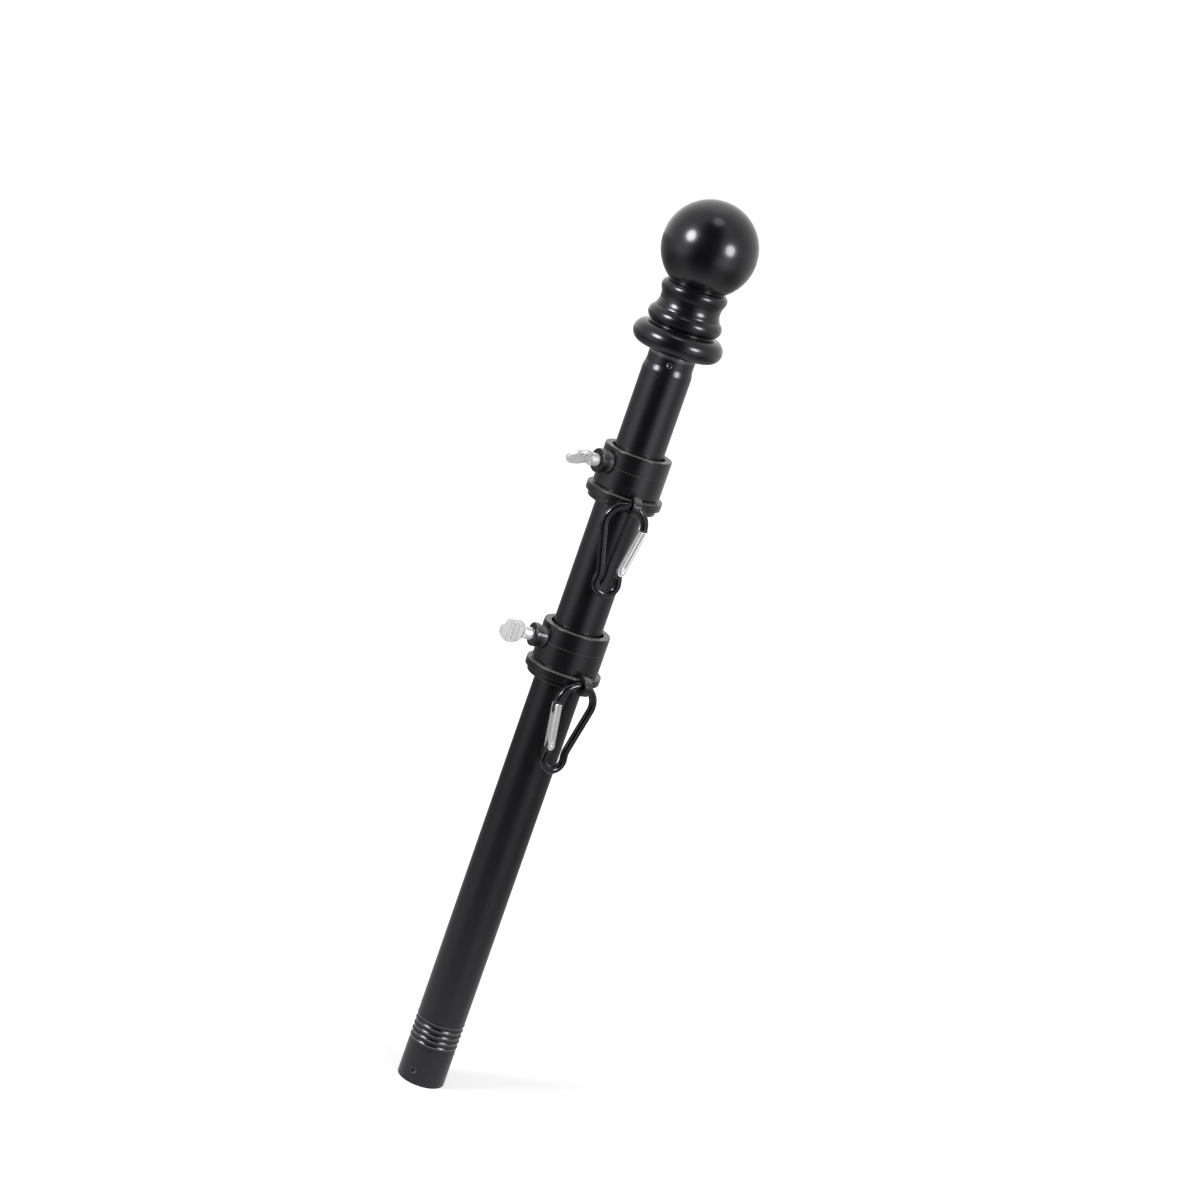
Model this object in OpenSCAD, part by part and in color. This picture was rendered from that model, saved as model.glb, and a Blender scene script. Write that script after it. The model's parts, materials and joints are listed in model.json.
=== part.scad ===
// Top section of a sectional flagpole: a steel tube with a ball finial and two sliding ring clamps.
// Each clamp carries a thumb screw and a spinning ring, and a snap hook hangs from the ring.
// The tube stands on the centre of its bottom face, with +Z up along the tube. The front is -Y.

/* [Tube] */
// Outside diameter of the tube
tube_diameter = 25.4; // [20:0.1:32]
// Thickness of the tube wall
tube_wall = 0.8; // [0.8:0.1:1.5]
// Length of the tube from its bottom end to the finial
tube_length = 406; // [360:1:600]
// How far the neck at the top is drawn in, on the radius
neck_draw_in = 0.7; // [0.3:0.1:1.2]
// Length of the drawn-in neck
neck_length = 6.5; // [4:0.5:12]
// Length of the sloped shoulder below the neck
shoulder_length = 3.5; // [2:0.5:8]
// Height of the crimp dents above the lower end of the neck
crimp_rise = 1.2; // [0.5:0.1:3]
// Radius of the punch that makes each dent
dent_punch_radius = 1.6; // [1:0.1:3]
// Depth of each dent
dent_depth = 0.45; // [0.2:0.05:0.6]
// Number of crimp dents round the neck
crimp_count = 4; // [2:1:8]
// Height of the single locking dent near the bottom end
lock_dent_height = 7.4; // [5:0.1:15]
// Direction of the locking dent, turned from the front
lock_dent_angle = -23.7; // [-90:0.1:90]

/* [Rolled grooves] */
// Height of the lowest rolled ridge
ridge_height = 22.6; // [20:0.1:40]
// Distance from one ridge to the next
ridge_pitch = 3.15; // [2.5:0.05:5]
// Number of ridges
ridge_count = 5; // [3:1:8]
// How far a ridge stands proud of the tube
ridge_rise = 0.15; // [0.05:0.05:0.4]
// Depth of the grooves between the ridges
groove_depth = 0.35; // [0.1:0.05:0.4]
// Radius of the rolling tool
roll_radius = 0.9; // [0.6:0.1:1.2]

/* [Coupling sleeve] */
// Length of the sleeve inside the bottom end
sleeve_length = 42; // [38:1:60]
// Diameter of the socket in the sleeve
socket_diameter = 18; // [12:0.5:20]
// Thickness of the closed end of the sleeve
sleeve_end = 4; // [2:0.5:8]

/* [Finial] */
// Diameter of the ball
ball_diameter = 48.2; // [40:0.2:60]
// Height of the turned neck from the tube end to the ball
turning_height = 34.6; // [30:0.2:45]
// Largest radius of the round flange at the foot of the turning
flange_radius = 23.1; // [20:0.1:28]
// Radius of the flange's rounded edge
flange_round = 6; // [4:0.1:8]
// Largest radius of the lower bead
lower_bead_radius = 19; // [17.5:0.1:24]
// Radius of the lower bead's rounded edge
lower_bead_round = 4.4; // [3:0.1:5]
// Height of the lower bead above the tube end
lower_bead_height = 16.6; // [15:0.1:20]
// Largest radius of the upper bead
upper_bead_radius = 17; // [16:0.1:22]
// Radius of the upper bead's rounded edge
upper_bead_round = 3.4; // [2:0.1:3.6]
// Height of the upper bead above the tube end
upper_bead_height = 31; // [28:0.1:36]
// Radius at the narrowest part of the waist between the beads
waist_radius = 15.5; // [13:0.1:16.2]
// Radius of the hollow curve of the waist
waist_round = 7.6; // [5:0.1:10]
// Height of the waist above the tube end
waist_height = 25.1; // [22:0.1:28]
// Radius of the solid core between the beads
core_radius = 16.6; // [16:0.1:17.5]
// Radius of the turning just under the ball
seat_radius = 14.6; // [13:0.1:16]
// Length of the plug that goes down into the tube
plug_length = 12; // [8:0.5:20]

/* [Clamp collars] */
// Distance of the upper spinning ring below the finial
upper_ring_drop = 76.1; // [60:0.1:120]
// Distance of the lower spinning ring below the finial
lower_ring_drop = 171.6; // [160:0.1:240]
// Radial gap between the tube and the collar
collar_gap = 1.1; // [0.5:0.1:3]
// Thickness of the collar's wide part
collar_wall = 3.65; // [2.8:0.05:6]
// Height of the collar's top edge above the middle of the ring
collar_top = 23.4; // [18:0.1:30]
// Gap between the ring and the collar's wide part
foot_gap = 1.15; // [0.3:0.05:2]
// Thickness of the narrow hub that the ring turns on
hub_wall = 1.7; // [1:0.1:2.4]
// Bevel on the collar's top edges
collar_bevel = 0.5; // [0.2:0.1:1]
// Height of the moulding line above the middle of the ring
seam_height = 14.4; // [10:0.1:18]
// Depth of the moulding line
seam_depth = 0.12; // [0.05:0.01:0.3]
// Width of the moulding line
seam_width = 0.4; // [0.2:0.05:1]

/* [Retaining flange] */
// Width of the flange that holds the ring, from its bore to its edge
retainer_wall = 3.9; // [2.8:0.1:6]
// Thickness of that flange
retainer_thickness = 2.65; // [2:0.05:5]
// Gap between the ring and the flange
retainer_gap = 0.3; // [0.2:0.05:1]
// Bevel on the flange's edges
retainer_bevel = 0.6; // [0.2:0.1:1]

/* [Spinning ring] */
// Width of the ring, from its bore to its edge
ring_wall = 3.75; // [2.6:0.05:6]
// Height of the ring
ring_thickness = 4.1; // [3:0.1:6]
// Radial gap between the ring and the hub
ring_gap = 0.4; // [0.2:0.05:1]
// Bevel on the ring's outer edges
ring_bevel = 0.4; // [0.1:0.1:1]

/* [Lug] */
// Width of material round the lug's hole
lug_wall = 2.1; // [1.4:0.1:3.5]
// Thickness of the lug
lug_thickness = 4; // [2.5:0.1:6]
// Gap all round between the hook's wire and the lug's hole
hook_gap = 0.9; // [0.7:0.05:1.5]
// Direction of the upper lug, turned from the front
upper_lug_angle = 18; // [-180:0.5:180]
// Direction of the lower lug, turned from the front
lower_lug_angle = 34.5; // [-180:0.5:180]

/* [Thumb screws] */
// Height of the screw above the middle of the ring
screw_height = 15; // [12:0.1:18]
// Radius of the boss next to the collar
boss_radius = 5.4; // [4.5:0.1:7]
// Length of the boss from the collar to its step
boss_stem = 3.05; // [2:0.05:6]
// Radius of the boss's round head
boss_head_radius = 6.1; // [5:0.1:8]
// Thickness of the boss's round head
boss_head = 2.8; // [1.5:0.1:5]
// Bevel on the boss's head
boss_bevel = 0.5; // [0.2:0.1:1]
// Radius of the screw
screw_radius = 2.5; // [2:0.1:3]
// Radial gap between the screw and its hole
screw_fit = 0.08; // [0.01:0.01:0.1]
// Gap between the screw's tip and the tube
tip_gap = 0.3; // [0.1:0.05:1]
// Radius of the screw's plain shoulder
shoulder_radius = 3.3; // [2.8:0.1:5]
// Length of the plain shoulder
screw_shoulder = 4.6; // [3:0.1:8]
// Radius of the flat round thumb grip
grip_radius = 6.8; // [5:0.1:10]
// Thickness of the thumb grip
grip_thickness = 2.2; // [1.5:0.1:4]
// Distance from the shoulder's end to the middle of the grip
grip_offset = 5.9; // [4:0.1:6.5]
// Gap between the boss and the screw's shoulder
shoulder_gap = 0.3; // [0.1:0.05:1]
// Height of the grip's ribs above its faces
rib_rise = 0.35; // [0.1:0.05:0.8]
// Width of each rib
rib_width = 0.7; // [0.4:0.05:1.2]
// Distance from one rib to the next
rib_pitch = 2.6; // [1.5:0.1:4]
// Direction of the upper screw, turned from the front
upper_screw_angle = -52; // [-180:0.5:180]
// Direction of the lower screw, turned from the front
lower_screw_angle = -63; // [-180:0.5:180]
// Turn of the upper screw's grip from upright
upper_grip_turn = 48; // [-90:1:90]
// Turn of the lower screw's grip from upright
lower_grip_turn = 4; // [-90:1:90]

/* [Snap hooks] */
// Radius of the hook's wire
wire_radius = 2; // [1.5:0.05:2.4]
// Centreline radius of the hook's wide end
wide_radius = 10.25; // [9:0.05:14]
// Centreline radius of the hook's narrow end
narrow_radius = 5.65; // [4.5:0.05:7]
// Distance between the centres of the two ends
end_spacing = 30.6; // [28:0.1:50]
// Height of the hook's waist above the centre of the narrow end
waist_rise = 4.75; // [4:0.05:7]
// How far the waist is drawn in from the narrow end's radius
waist_draw_in = 0.75; // [0.5:0.05:1]
// Radius of the wire's bend at the waist
bend_radius = 10; // [6:0.5:14]
// Angle where the nose ends, below the level of the wide end's centre
nose_angle = 3; // [0:0.5:8]
// Sideways place of the upper hook's wide end, from the lug
upper_hook_offset = -2; // [-2.2:0.05:2.2]
// Sideways place of the lower hook's wide end, from the lug
lower_hook_offset = -1.65; // [-2.2:0.05:2.2]
// Lean of the upper hook in its own plane
upper_hook_lean = 2.2; // [-10:0.1:10]
// Lean of the lower hook in its own plane
lower_hook_lean = -2.3; // [-10:0.1:10]

/* [Gates] */
// How far the gate's channel stands out past the wire on each side
gate_margin = 0.1; // [0:0.05:0.4]
// Thickness of the channel's walls
gate_wall = 0.7; // [0.5:0.05:1]
// Gap between the nose and the top of the gate
gate_gap = 0.45; // [0.3:0.05:1]
// Height of the gate's pin above the hook's waist
gate_pin_rise = 2.25; // [1.5:0.05:4]
// Radius of the gate's pin
gate_pin_radius = 0.6; // [0.4:0.05:0.9]
// Radial gap between the pin and the gate
gate_pin_fit = 0.05; // [0.01:0.01:0.1]
// Radius of the rivet heads on the pin
rivet_radius = 1.1; // [0.8:0.05:1.6]
// Gap between each rivet head and the gate
rivet_gap = 0.1; // [0.05:0.05:0.3]
// Thickness of each rivet head
rivet_head = 0.3; // [0.2:0.05:0.6]
// Gap on each side of the tang and the nose's tongue
tang_gap = 0.3; // [0.2:0.05:0.5]
// Gap between the gate's ears and the hook's stem
ear_gap = 0.6; // [0.4:0.05:1.5]
// How far the gate's walls and ears stop short of the channel's open side
ear_inset = 0.2; // [0.1:0.05:0.4]
// Length of the nose's tongue inside the gate
tongue_length = 5.5; // [3:0.1:8]
// Gap between the tongue and the gate's back wall
tongue_back_gap = 0.8; // [0.3:0.05:1.2]
// How far the tongue stays inside the gate's open side
tongue_inset = 0.3; // [0.1:0.05:0.6]

/* [Hidden] */
$fn = 96;
overlap = 1;
tube_radius = tube_diameter / 2;
tube_bore = tube_radius - tube_wall;
neck_radius = tube_radius - neck_draw_in;
neck_bore = neck_radius - tube_wall;
neck_foot = tube_length - neck_length;
shoulder_foot = neck_foot - shoulder_length;
plug_gap = 0.1;
ball_radius = ball_diameter / 2;
ball_seat = tube_length + turning_height;
ball_centre = ball_seat + sqrt(pow(ball_radius, 2) - pow(seat_radius, 2));
upper_ring_height = tube_length - upper_ring_drop;
lower_ring_height = tube_length - lower_ring_drop;
collar_bore = tube_radius + collar_gap;
collar_radius = collar_bore + collar_wall;
hub_radius = collar_bore + hub_wall;
retainer_radius = collar_bore + retainer_wall;
ring_half = ring_thickness / 2;
ring_bore = hub_radius + ring_gap;
ring_radius = ring_bore + ring_wall;
collar_foot = ring_half + foot_gap;
retainer_top = -ring_half - retainer_gap;
lug_hole_radius = wire_radius + hook_gap;
lug_radius = lug_hole_radius + lug_wall;
lug_reach = ring_radius + lug_hole_radius;
screw_bore = screw_radius + screw_fit;
screw_tip = tube_radius + tip_gap;
boss_step = collar_radius + boss_stem;
boss_face = boss_step + boss_head;
shoulder_start = boss_face + shoulder_gap;
grip_start = shoulder_start + screw_shoulder;
grip_centre = grip_start + grip_offset;
// Corner of the hook's waist, and the slopes of the lines that run from it along the two ends
corner_x = narrow_radius - waist_draw_in;
corner_z = waist_rise - end_spacing;
side_angle = asin(wide_radius / norm([corner_x, corner_z])) - atan(-corner_x / corner_z);
waist_angle = asin(narrow_radius / norm([corner_x, waist_rise])) - atan(corner_x / waist_rise);
// Points where the straight lengths meet the ends and the bend
spine_top_x = wide_radius * cos(side_angle);
spine_top_z = -wide_radius * sin(side_angle);
join_x = narrow_radius * cos(waist_angle);
join_z = -end_spacing + narrow_radius * sin(waist_angle);
bend_reach = bend_radius * tan((side_angle + waist_angle) / 2);
spine_length = (spine_top_z - corner_z) / cos(side_angle) - bend_reach;
bend_top_x = corner_x + bend_reach * sin(side_angle);
bend_top_z = corner_z + bend_reach * cos(side_angle);
bend_end_x = corner_x + bend_reach * sin(waist_angle);
bend_end_z = corner_z - bend_reach * cos(waist_angle);
stem_length = (bend_end_z - join_z) / cos(waist_angle);
// How far a straight length runs into a bend, and how much thinner it is
rod_lap = 0.5;
rod_step = 0.05;
// Gate pin, on the straight line of the gate's side
pin_z = corner_z + gate_pin_rise;
pin_x = corner_x + tan(side_angle) * gate_pin_rise;
gate_half = wire_radius + gate_margin;
gate_width = 2 * gate_half;
ear_radius = gate_half - ear_inset;
shoulder_drop = ear_radius + ear_gap;
stem_rise = pin_z - shoulder_drop - join_z;
gate_top_z = -wide_radius * sin(nose_angle) - gate_gap;
gate_top_middle = (gate_top_z - pin_z) / cos(side_angle);
gate_top_slope = tan(side_angle - nose_angle);
tang_half = gate_half - gate_wall - tang_gap;
tongue_root = gate_top_middle + gate_gap;
tongue_back = gate_wall - gate_half + tongue_back_gap;

black_steel = [0.07, 0.07, 0.08];
black_plastic = [0.06, 0.06, 0.065];
bright_metal = [0.82, 0.82, 0.84];

// A ring made by turning a rounded section about the tube axis
module rolled_ring(centre_radius, height, section_radius) {
    translate([0, 0, height])
        rotate_extrude()
            translate([centre_radius, 0])
                circle(r = section_radius, $fn = 32);
}

// A small round dent in a surface, at a height and direction
module dent(surface_radius, height, direction) {
    rotate([0, 0, direction])
        translate([0, -(surface_radius + dent_punch_radius - dent_depth), height])
            sphere(r = dent_punch_radius, $fn = 32);
}

module pole_tube() {
    color(black_steel)
        difference() {
            union() {
                cylinder(r = tube_radius, h = shoulder_foot);
                translate([0, 0, shoulder_foot])
                    cylinder(r1 = tube_radius, r2 = neck_radius, h = shoulder_length);
                translate([0, 0, neck_foot])
                    cylinder(r = neck_radius, h = neck_length);
                for (i = [0 : ridge_count - 1])
                    rolled_ring(
                        tube_radius + ridge_rise - roll_radius,
                        ridge_height + i * ridge_pitch,
                        roll_radius
                    );
            }
            translate([0, 0, -overlap])
                cylinder(r = tube_bore, h = shoulder_foot + overlap);
            translate([0, 0, shoulder_foot])
                cylinder(r1 = tube_bore, r2 = neck_bore, h = shoulder_length);
            translate([0, 0, neck_foot])
                cylinder(r = neck_bore, h = neck_length + overlap);
            for (i = [0 : ridge_count - 2])
                rolled_ring(
                    tube_radius - groove_depth + roll_radius,
                    ridge_height + (i + 0.5) * ridge_pitch,
                    roll_radius
                );
            for (i = [0 : crimp_count - 1])
                dent(neck_radius, neck_foot + crimp_rise, i * 360 / crimp_count);
            dent(tube_radius, lock_dent_height, lock_dent_angle);
        }
}

module coupling_sleeve() {
    color(black_plastic)
        difference() {
            cylinder(r = tube_bore, h = sleeve_length);
            translate([0, 0, -overlap])
                cylinder(d = socket_diameter, h = sleeve_length - sleeve_end + overlap);
        }
}

// Half section of the turning: core, flange, two beads and the hollow waist
module turning_section() {
    difference() {
        union() {
            square([core_radius, upper_bead_height]);
            square([seat_radius, turning_height]);
            square([flange_radius - flange_round, flange_round]);
            translate([flange_radius - flange_round, flange_round])
                circle(r = flange_round);
            translate([lower_bead_radius - lower_bead_round, lower_bead_height])
                circle(r = lower_bead_round);
            translate([upper_bead_radius - upper_bead_round, upper_bead_height])
                circle(r = upper_bead_round);
        }
        translate([waist_radius + waist_round, waist_height])
            circle(r = waist_round);
    }
}

module finial_turning() {
    color(black_plastic) {
        translate([0, 0, tube_length])
            rotate_extrude()
                turning_section();
        translate([0, 0, tube_length - plug_length])
            cylinder(r = neck_bore - plug_gap, h = plug_length);
    }
}

module finial_ball() {
    color(black_plastic)
        difference() {
            translate([0, 0, ball_centre])
                sphere(r = ball_radius);
            translate([0, 0, ball_seat - ball_radius])
                cylinder(r = ball_radius, h = ball_radius);
        }
}

// Everything below is drawn about the middle of a spinning ring, and then raised to its height
module collar() {
    color(black_plastic)
        difference() {
            union() {
                translate([0, 0, retainer_top])
                    cylinder(r = hub_radius, h = collar_foot - retainer_top);
                translate([0, 0, collar_foot])
                    cylinder(r = collar_radius, h = collar_top - collar_bevel - collar_foot);
                translate([0, 0, collar_top - collar_bevel])
                    cylinder(r1 = collar_radius, r2 = collar_radius - collar_bevel, h = collar_bevel);
            }
            translate([0, 0, retainer_top - overlap])
                cylinder(r = collar_bore, h = collar_top - retainer_top + 2 * overlap);
            translate([0, 0, collar_top - collar_bevel])
                cylinder(r1 = collar_bore, r2 = collar_bore + collar_bevel, h = collar_bevel);
            translate([0, 0, seam_height - seam_width / 2])
                difference() {
                    cylinder(r = collar_radius + overlap, h = seam_width);
                    translate([0, 0, -overlap])
                        cylinder(r = collar_radius - seam_depth, h = seam_width + 2 * overlap);
                }
            screw_hole();
        }
}

// The hole for the thumb screw, in the collar and in its boss
module screw_hole() {
    translate([0, 0, screw_height])
        rotate([90, 0, 0])
            cylinder(r = screw_bore, h = boss_face + overlap, $fn = 48);
}

module boss() {
    color(black_plastic)
        difference() {
            translate([0, 0, screw_height])
                rotate([90, 0, 0]) {
                    cylinder(r = boss_radius, h = boss_step);
                    translate([0, 0, boss_step])
                        cylinder(r = boss_head_radius, h = boss_face - boss_step - boss_bevel);
                    translate([0, 0, boss_face - boss_bevel])
                        cylinder(
                            r1 = boss_head_radius,
                            r2 = boss_head_radius - boss_bevel,
                            h = boss_bevel
                        );
                }
            cylinder(r = collar_radius, h = collar_top + overlap);
            screw_hole();
        }
}

module retainer() {
    color(black_plastic)
        translate([0, 0, retainer_top - retainer_thickness])
            difference() {
                union() {
                    cylinder(
                        r1 = retainer_radius - retainer_bevel,
                        r2 = retainer_radius,
                        h = retainer_bevel
                    );
                    translate([0, 0, retainer_bevel])
                        cylinder(r = retainer_radius, h = retainer_thickness - retainer_bevel);
                }
                translate([0, 0, -overlap])
                    cylinder(r = collar_bore, h = retainer_thickness + 2 * overlap);
            }
}

module spinning_ring() {
    color(black_plastic)
        difference() {
            union() {
                translate([0, 0, -ring_half])
                    cylinder(r1 = ring_radius - ring_bevel, r2 = ring_radius, h = ring_bevel);
                translate([0, 0, ring_bevel - ring_half])
                    cylinder(r = ring_radius, h = ring_thickness - 2 * ring_bevel);
                translate([0, 0, ring_half - ring_bevel])
                    cylinder(r1 = ring_radius, r2 = ring_radius - ring_bevel, h = ring_bevel);
            }
            translate([0, 0, -ring_half - overlap])
                cylinder(r = ring_bore, h = ring_thickness + 2 * overlap);
        }
}

module lug() {
    color(black_plastic)
        difference() {
            union() {
                translate([-lug_thickness / 2, -lug_reach, 0])
                    rotate([0, 90, 0])
                        cylinder(r = lug_radius, h = lug_thickness);
                translate([-lug_thickness / 2, -lug_reach, ring_bevel - ring_half])
                    cube([lug_thickness, lug_reach, ring_thickness - 2 * ring_bevel]);
            }
            translate([0, 0, -lug_radius - overlap])
                cylinder(r = ring_radius, h = 2 * (lug_radius + overlap));
            translate([-lug_thickness, -lug_reach, 0])
                rotate([0, 90, 0])
                    cylinder(r = lug_hole_radius, h = 2 * lug_thickness, $fn = 48);
        }
}

module thumb_screw() {
    color(bright_metal)
        translate([0, 0, screw_height])
            rotate([90, 0, 0]) {
                translate([0, 0, screw_tip])
                    cylinder(r = screw_radius, h = shoulder_start - screw_tip, $fn = 48);
                translate([0, 0, shoulder_start])
                    cylinder(r = shoulder_radius, h = screw_shoulder, $fn = 48);
            }
}

// Outline of the thumb grip, with the screw's axis along +Y
module grip_outline() {
    difference() {
        translate([0, grip_centre])
            circle(r = grip_radius, $fn = 48);
        translate([-grip_radius, grip_start - grip_radius])
            square([2 * grip_radius, grip_radius]);
    }
}

module thumb_grip() {
    color(bright_metal)
        translate([0, 0, screw_height])
            rotate([90, 0, 0])
                rotate([0, 0, 90])
                    rotate([90, 0, 0]) {
                        translate([0, 0, -grip_thickness / 2])
                            linear_extrude(grip_thickness)
                                grip_outline();
                        for (i = [-1 : 1])
                            translate([
                                -grip_radius * 0.7,
                                grip_centre + i * rib_pitch - rib_width / 2,
                                -grip_thickness / 2 - rib_rise
                            ])
                                cube([grip_radius * 1.4, rib_width, grip_thickness + 2 * rib_rise]);
                    }
}

// A bent length of the hook's wire, in the plane of the hook
module wire_bend(centre_x, centre_z, radius, from_angle, turn) {
    translate([centre_x, 0, centre_z])
        rotate([90, 0, 0])
            rotate([0, 0, from_angle])
                rotate_extrude(angle = turn)
                    translate([radius, 0])
                        circle(r = wire_radius, $fn = 24);
}

// A straight length of the hook's wire, let into the bends at its two ends
module wire_rod(length) {
    translate([0, 0, -rod_lap])
        cylinder(r = wire_radius - rod_step, h = length + 2 * rod_lap, $fn = 24);
}

// The hook is drawn about the centre of its wide end, with the gate on the +X side
module hook_body() {
    wire_bend(0, 0, wide_radius, -nose_angle, 180 + side_angle + nose_angle);
    translate([-spine_top_x, 0, spine_top_z])
        rotate([0, 180 - side_angle, 0])
            wire_rod(spine_length);
    wire_bend(
        -bend_top_x - bend_radius * cos(side_angle),
        bend_top_z - bend_radius * sin(side_angle),
        bend_radius,
        -waist_angle,
        side_angle + waist_angle
    );
    translate([-bend_end_x, 0, bend_end_z])
        rotate([0, 180 + waist_angle, 0])
            wire_rod(stem_length);
    wire_bend(0, -end_spacing, narrow_radius, 180 - waist_angle, 180 + 2 * waist_angle);
    translate([join_x, 0, join_z])
        rotate([0, -waist_angle, 0])
            wire_rod(stem_rise / cos(waist_angle) - rod_lap);
    tang();
    tongue();
}

// Places a piece in the frame of the gate: its pin at the origin, its length along +Z
module at_gate() {
    translate([pin_x, 0, pin_z])
        rotate([0, side_angle, 0])
            children();
}

// Flat tang that rises from the narrow end and holds the pin
module tang() {
    difference() {
        at_gate()
            rotate([90, 0, 0])
                translate([0, 0, -tang_half]) {
                    cylinder(r = tang_half, h = 2 * tang_half, $fn = 32);
                    translate([-tang_half, -shoulder_drop - overlap, 0])
                        cube([2 * tang_half, shoulder_drop + overlap, 2 * tang_half]);
                }
        at_gate()
            rotate([90, 0, 0])
                translate([0, 0, -gate_width])
                    cylinder(r = gate_pin_radius, h = 2 * gate_width, $fn = 32);
    }
}

// Flat tongue that runs down from the nose into the gate's channel
module tongue() {
    at_gate()
        translate([tongue_back, -tang_half, tongue_root - tongue_length])
            cube([
                gate_half - tongue_inset - tongue_back,
                2 * tang_half,
                tongue_length + overlap
            ]);
}

module gate_outline() {
    polygon([
        [-gate_half, 0],
        [gate_half - ear_inset, 0],
        [gate_half - ear_inset, gate_top_middle + (gate_half - ear_inset) * gate_top_slope],
        [-gate_half, gate_top_middle - gate_half * gate_top_slope]
    ]);
    circle(r = ear_radius, $fn = 32);
}

module gate_channel() {
    difference() {
        at_gate()
            rotate([90, 0, 0])
                translate([0, 0, -gate_half])
                    linear_extrude(gate_width)
                        gate_outline();
        at_gate()
            translate([gate_wall - gate_half, gate_wall - gate_half, -gate_width])
                cube([gate_width, gate_width - 2 * gate_wall, gate_top_middle + 2 * gate_width]);
        at_gate()
            translate([-gate_width, gate_wall - gate_half, -gate_width])
                cube([2 * gate_width, gate_width - 2 * gate_wall, gate_width]);
        at_gate()
            rotate([90, 0, 0])
                translate([0, 0, -gate_width])
                    cylinder(r = gate_pin_radius + gate_pin_fit, h = 2 * gate_width, $fn = 32);
    }
}

module gate_pin() {
    at_gate()
        rotate([90, 0, 0]) {
            translate([0, 0, -gate_half - rivet_gap - rivet_head])
                cylinder(r = rivet_radius, h = rivet_head, $fn = 32);
            translate([0, 0, -gate_half - rivet_gap])
                cylinder(r = gate_pin_radius, h = gate_width + 2 * rivet_gap, $fn = 32);
            translate([0, 0, gate_half + rivet_gap])
                cylinder(r = rivet_radius, h = rivet_head, $fn = 32);
        }
}

// Hangs a hook in a lug: its wire passes through the middle of the lug's hole
module hang_hook(offset, lean) {
    translate([offset, -lug_reach, -sqrt(pow(wide_radius, 2) - pow(offset, 2))])
        rotate([0, -lean, 0])
            children();
}

module at_upper(direction) {
    translate([0, 0, upper_ring_height])
        rotate([0, 0, direction])
            children();
}

module at_lower(direction) {
    translate([0, 0, lower_ring_height])
        rotate([0, 0, direction])
            children();
}

// Turns a thumb grip about the axis of its screw
module turn_grip(turn) {
    translate([0, 0, screw_height])
        rotate([0, turn, 0])
            translate([0, 0, -screw_height])
                children();
}

module upper_collar() {
    at_upper(upper_screw_angle)
        collar();
}

module upper_boss() {
    at_upper(upper_screw_angle)
        boss();
}

module upper_retainer() {
    at_upper(0)
        retainer();
}

module upper_ring() {
    at_upper(0)
        spinning_ring();
}

module upper_lug() {
    at_upper(upper_lug_angle)
        lug();
}

module upper_screw() {
    at_upper(upper_screw_angle)
        thumb_screw();
}

module upper_grip() {
    at_upper(upper_screw_angle)
        turn_grip(upper_grip_turn)
            thumb_grip();
}

module upper_hook() {
    color(black_steel)
        at_upper(upper_lug_angle)
            hang_hook(upper_hook_offset, upper_hook_lean)
                hook_body();
}

module upper_gate_pin() {
    color(bright_metal)
        at_upper(upper_lug_angle)
            hang_hook(upper_hook_offset, upper_hook_lean)
                gate_pin();
}

module upper_gate() {
    color(bright_metal)
        at_upper(upper_lug_angle)
            hang_hook(upper_hook_offset, upper_hook_lean)
                gate_channel();
}

module lower_collar() {
    at_lower(lower_screw_angle)
        collar();
}

module lower_boss() {
    at_lower(lower_screw_angle)
        boss();
}

module lower_retainer() {
    at_lower(0)
        retainer();
}

module lower_ring() {
    at_lower(0)
        spinning_ring();
}

module lower_lug() {
    at_lower(lower_lug_angle)
        lug();
}

module lower_screw() {
    at_lower(lower_screw_angle)
        thumb_screw();
}

module lower_grip() {
    at_lower(lower_screw_angle)
        turn_grip(lower_grip_turn)
            thumb_grip();
}

module lower_hook() {
    color(black_steel)
        at_lower(lower_lug_angle)
            hang_hook(lower_hook_offset, lower_hook_lean)
                mirror([1, 0, 0])
                    hook_body();
}

module lower_gate_pin() {
    color(bright_metal)
        at_lower(lower_lug_angle)
            hang_hook(lower_hook_offset, lower_hook_lean)
                mirror([1, 0, 0])
                    gate_pin();
}

module lower_gate() {
    color(bright_metal)
        at_lower(lower_lug_angle)
            hang_hook(lower_hook_offset, lower_hook_lean)
                mirror([1, 0, 0])
                    gate_channel();
}

pole_tube();
coupling_sleeve();
finial_turning();
finial_ball();
upper_collar();
upper_boss();
upper_retainer();
upper_ring();
upper_lug();
upper_screw();
upper_grip();
upper_hook();
upper_gate_pin();
upper_gate();
lower_collar();
lower_boss();
lower_retainer();
lower_ring();
lower_lug();
lower_screw();
lower_grip();
lower_hook();
lower_gate_pin();
lower_gate();
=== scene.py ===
"""Looks for the top section of a black sectional flagpole.

A steel tube with a turned ball finial carries two sliding clamps. Each clamp has a thumb screw and a
spinning ring, and a snap hook hangs from the ring. Sizes are in millimetres and go to metres when a
mesh is made. Every piece is built in a frame of its own, and is then put in place.
"""

from __future__ import annotations

import json
import logging
import math
import sys
from dataclasses import dataclass, field
from enum import Enum
from typing import Callable, Iterable, Sequence

import bmesh
import bpy
from mathutils import Matrix, Vector

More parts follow.
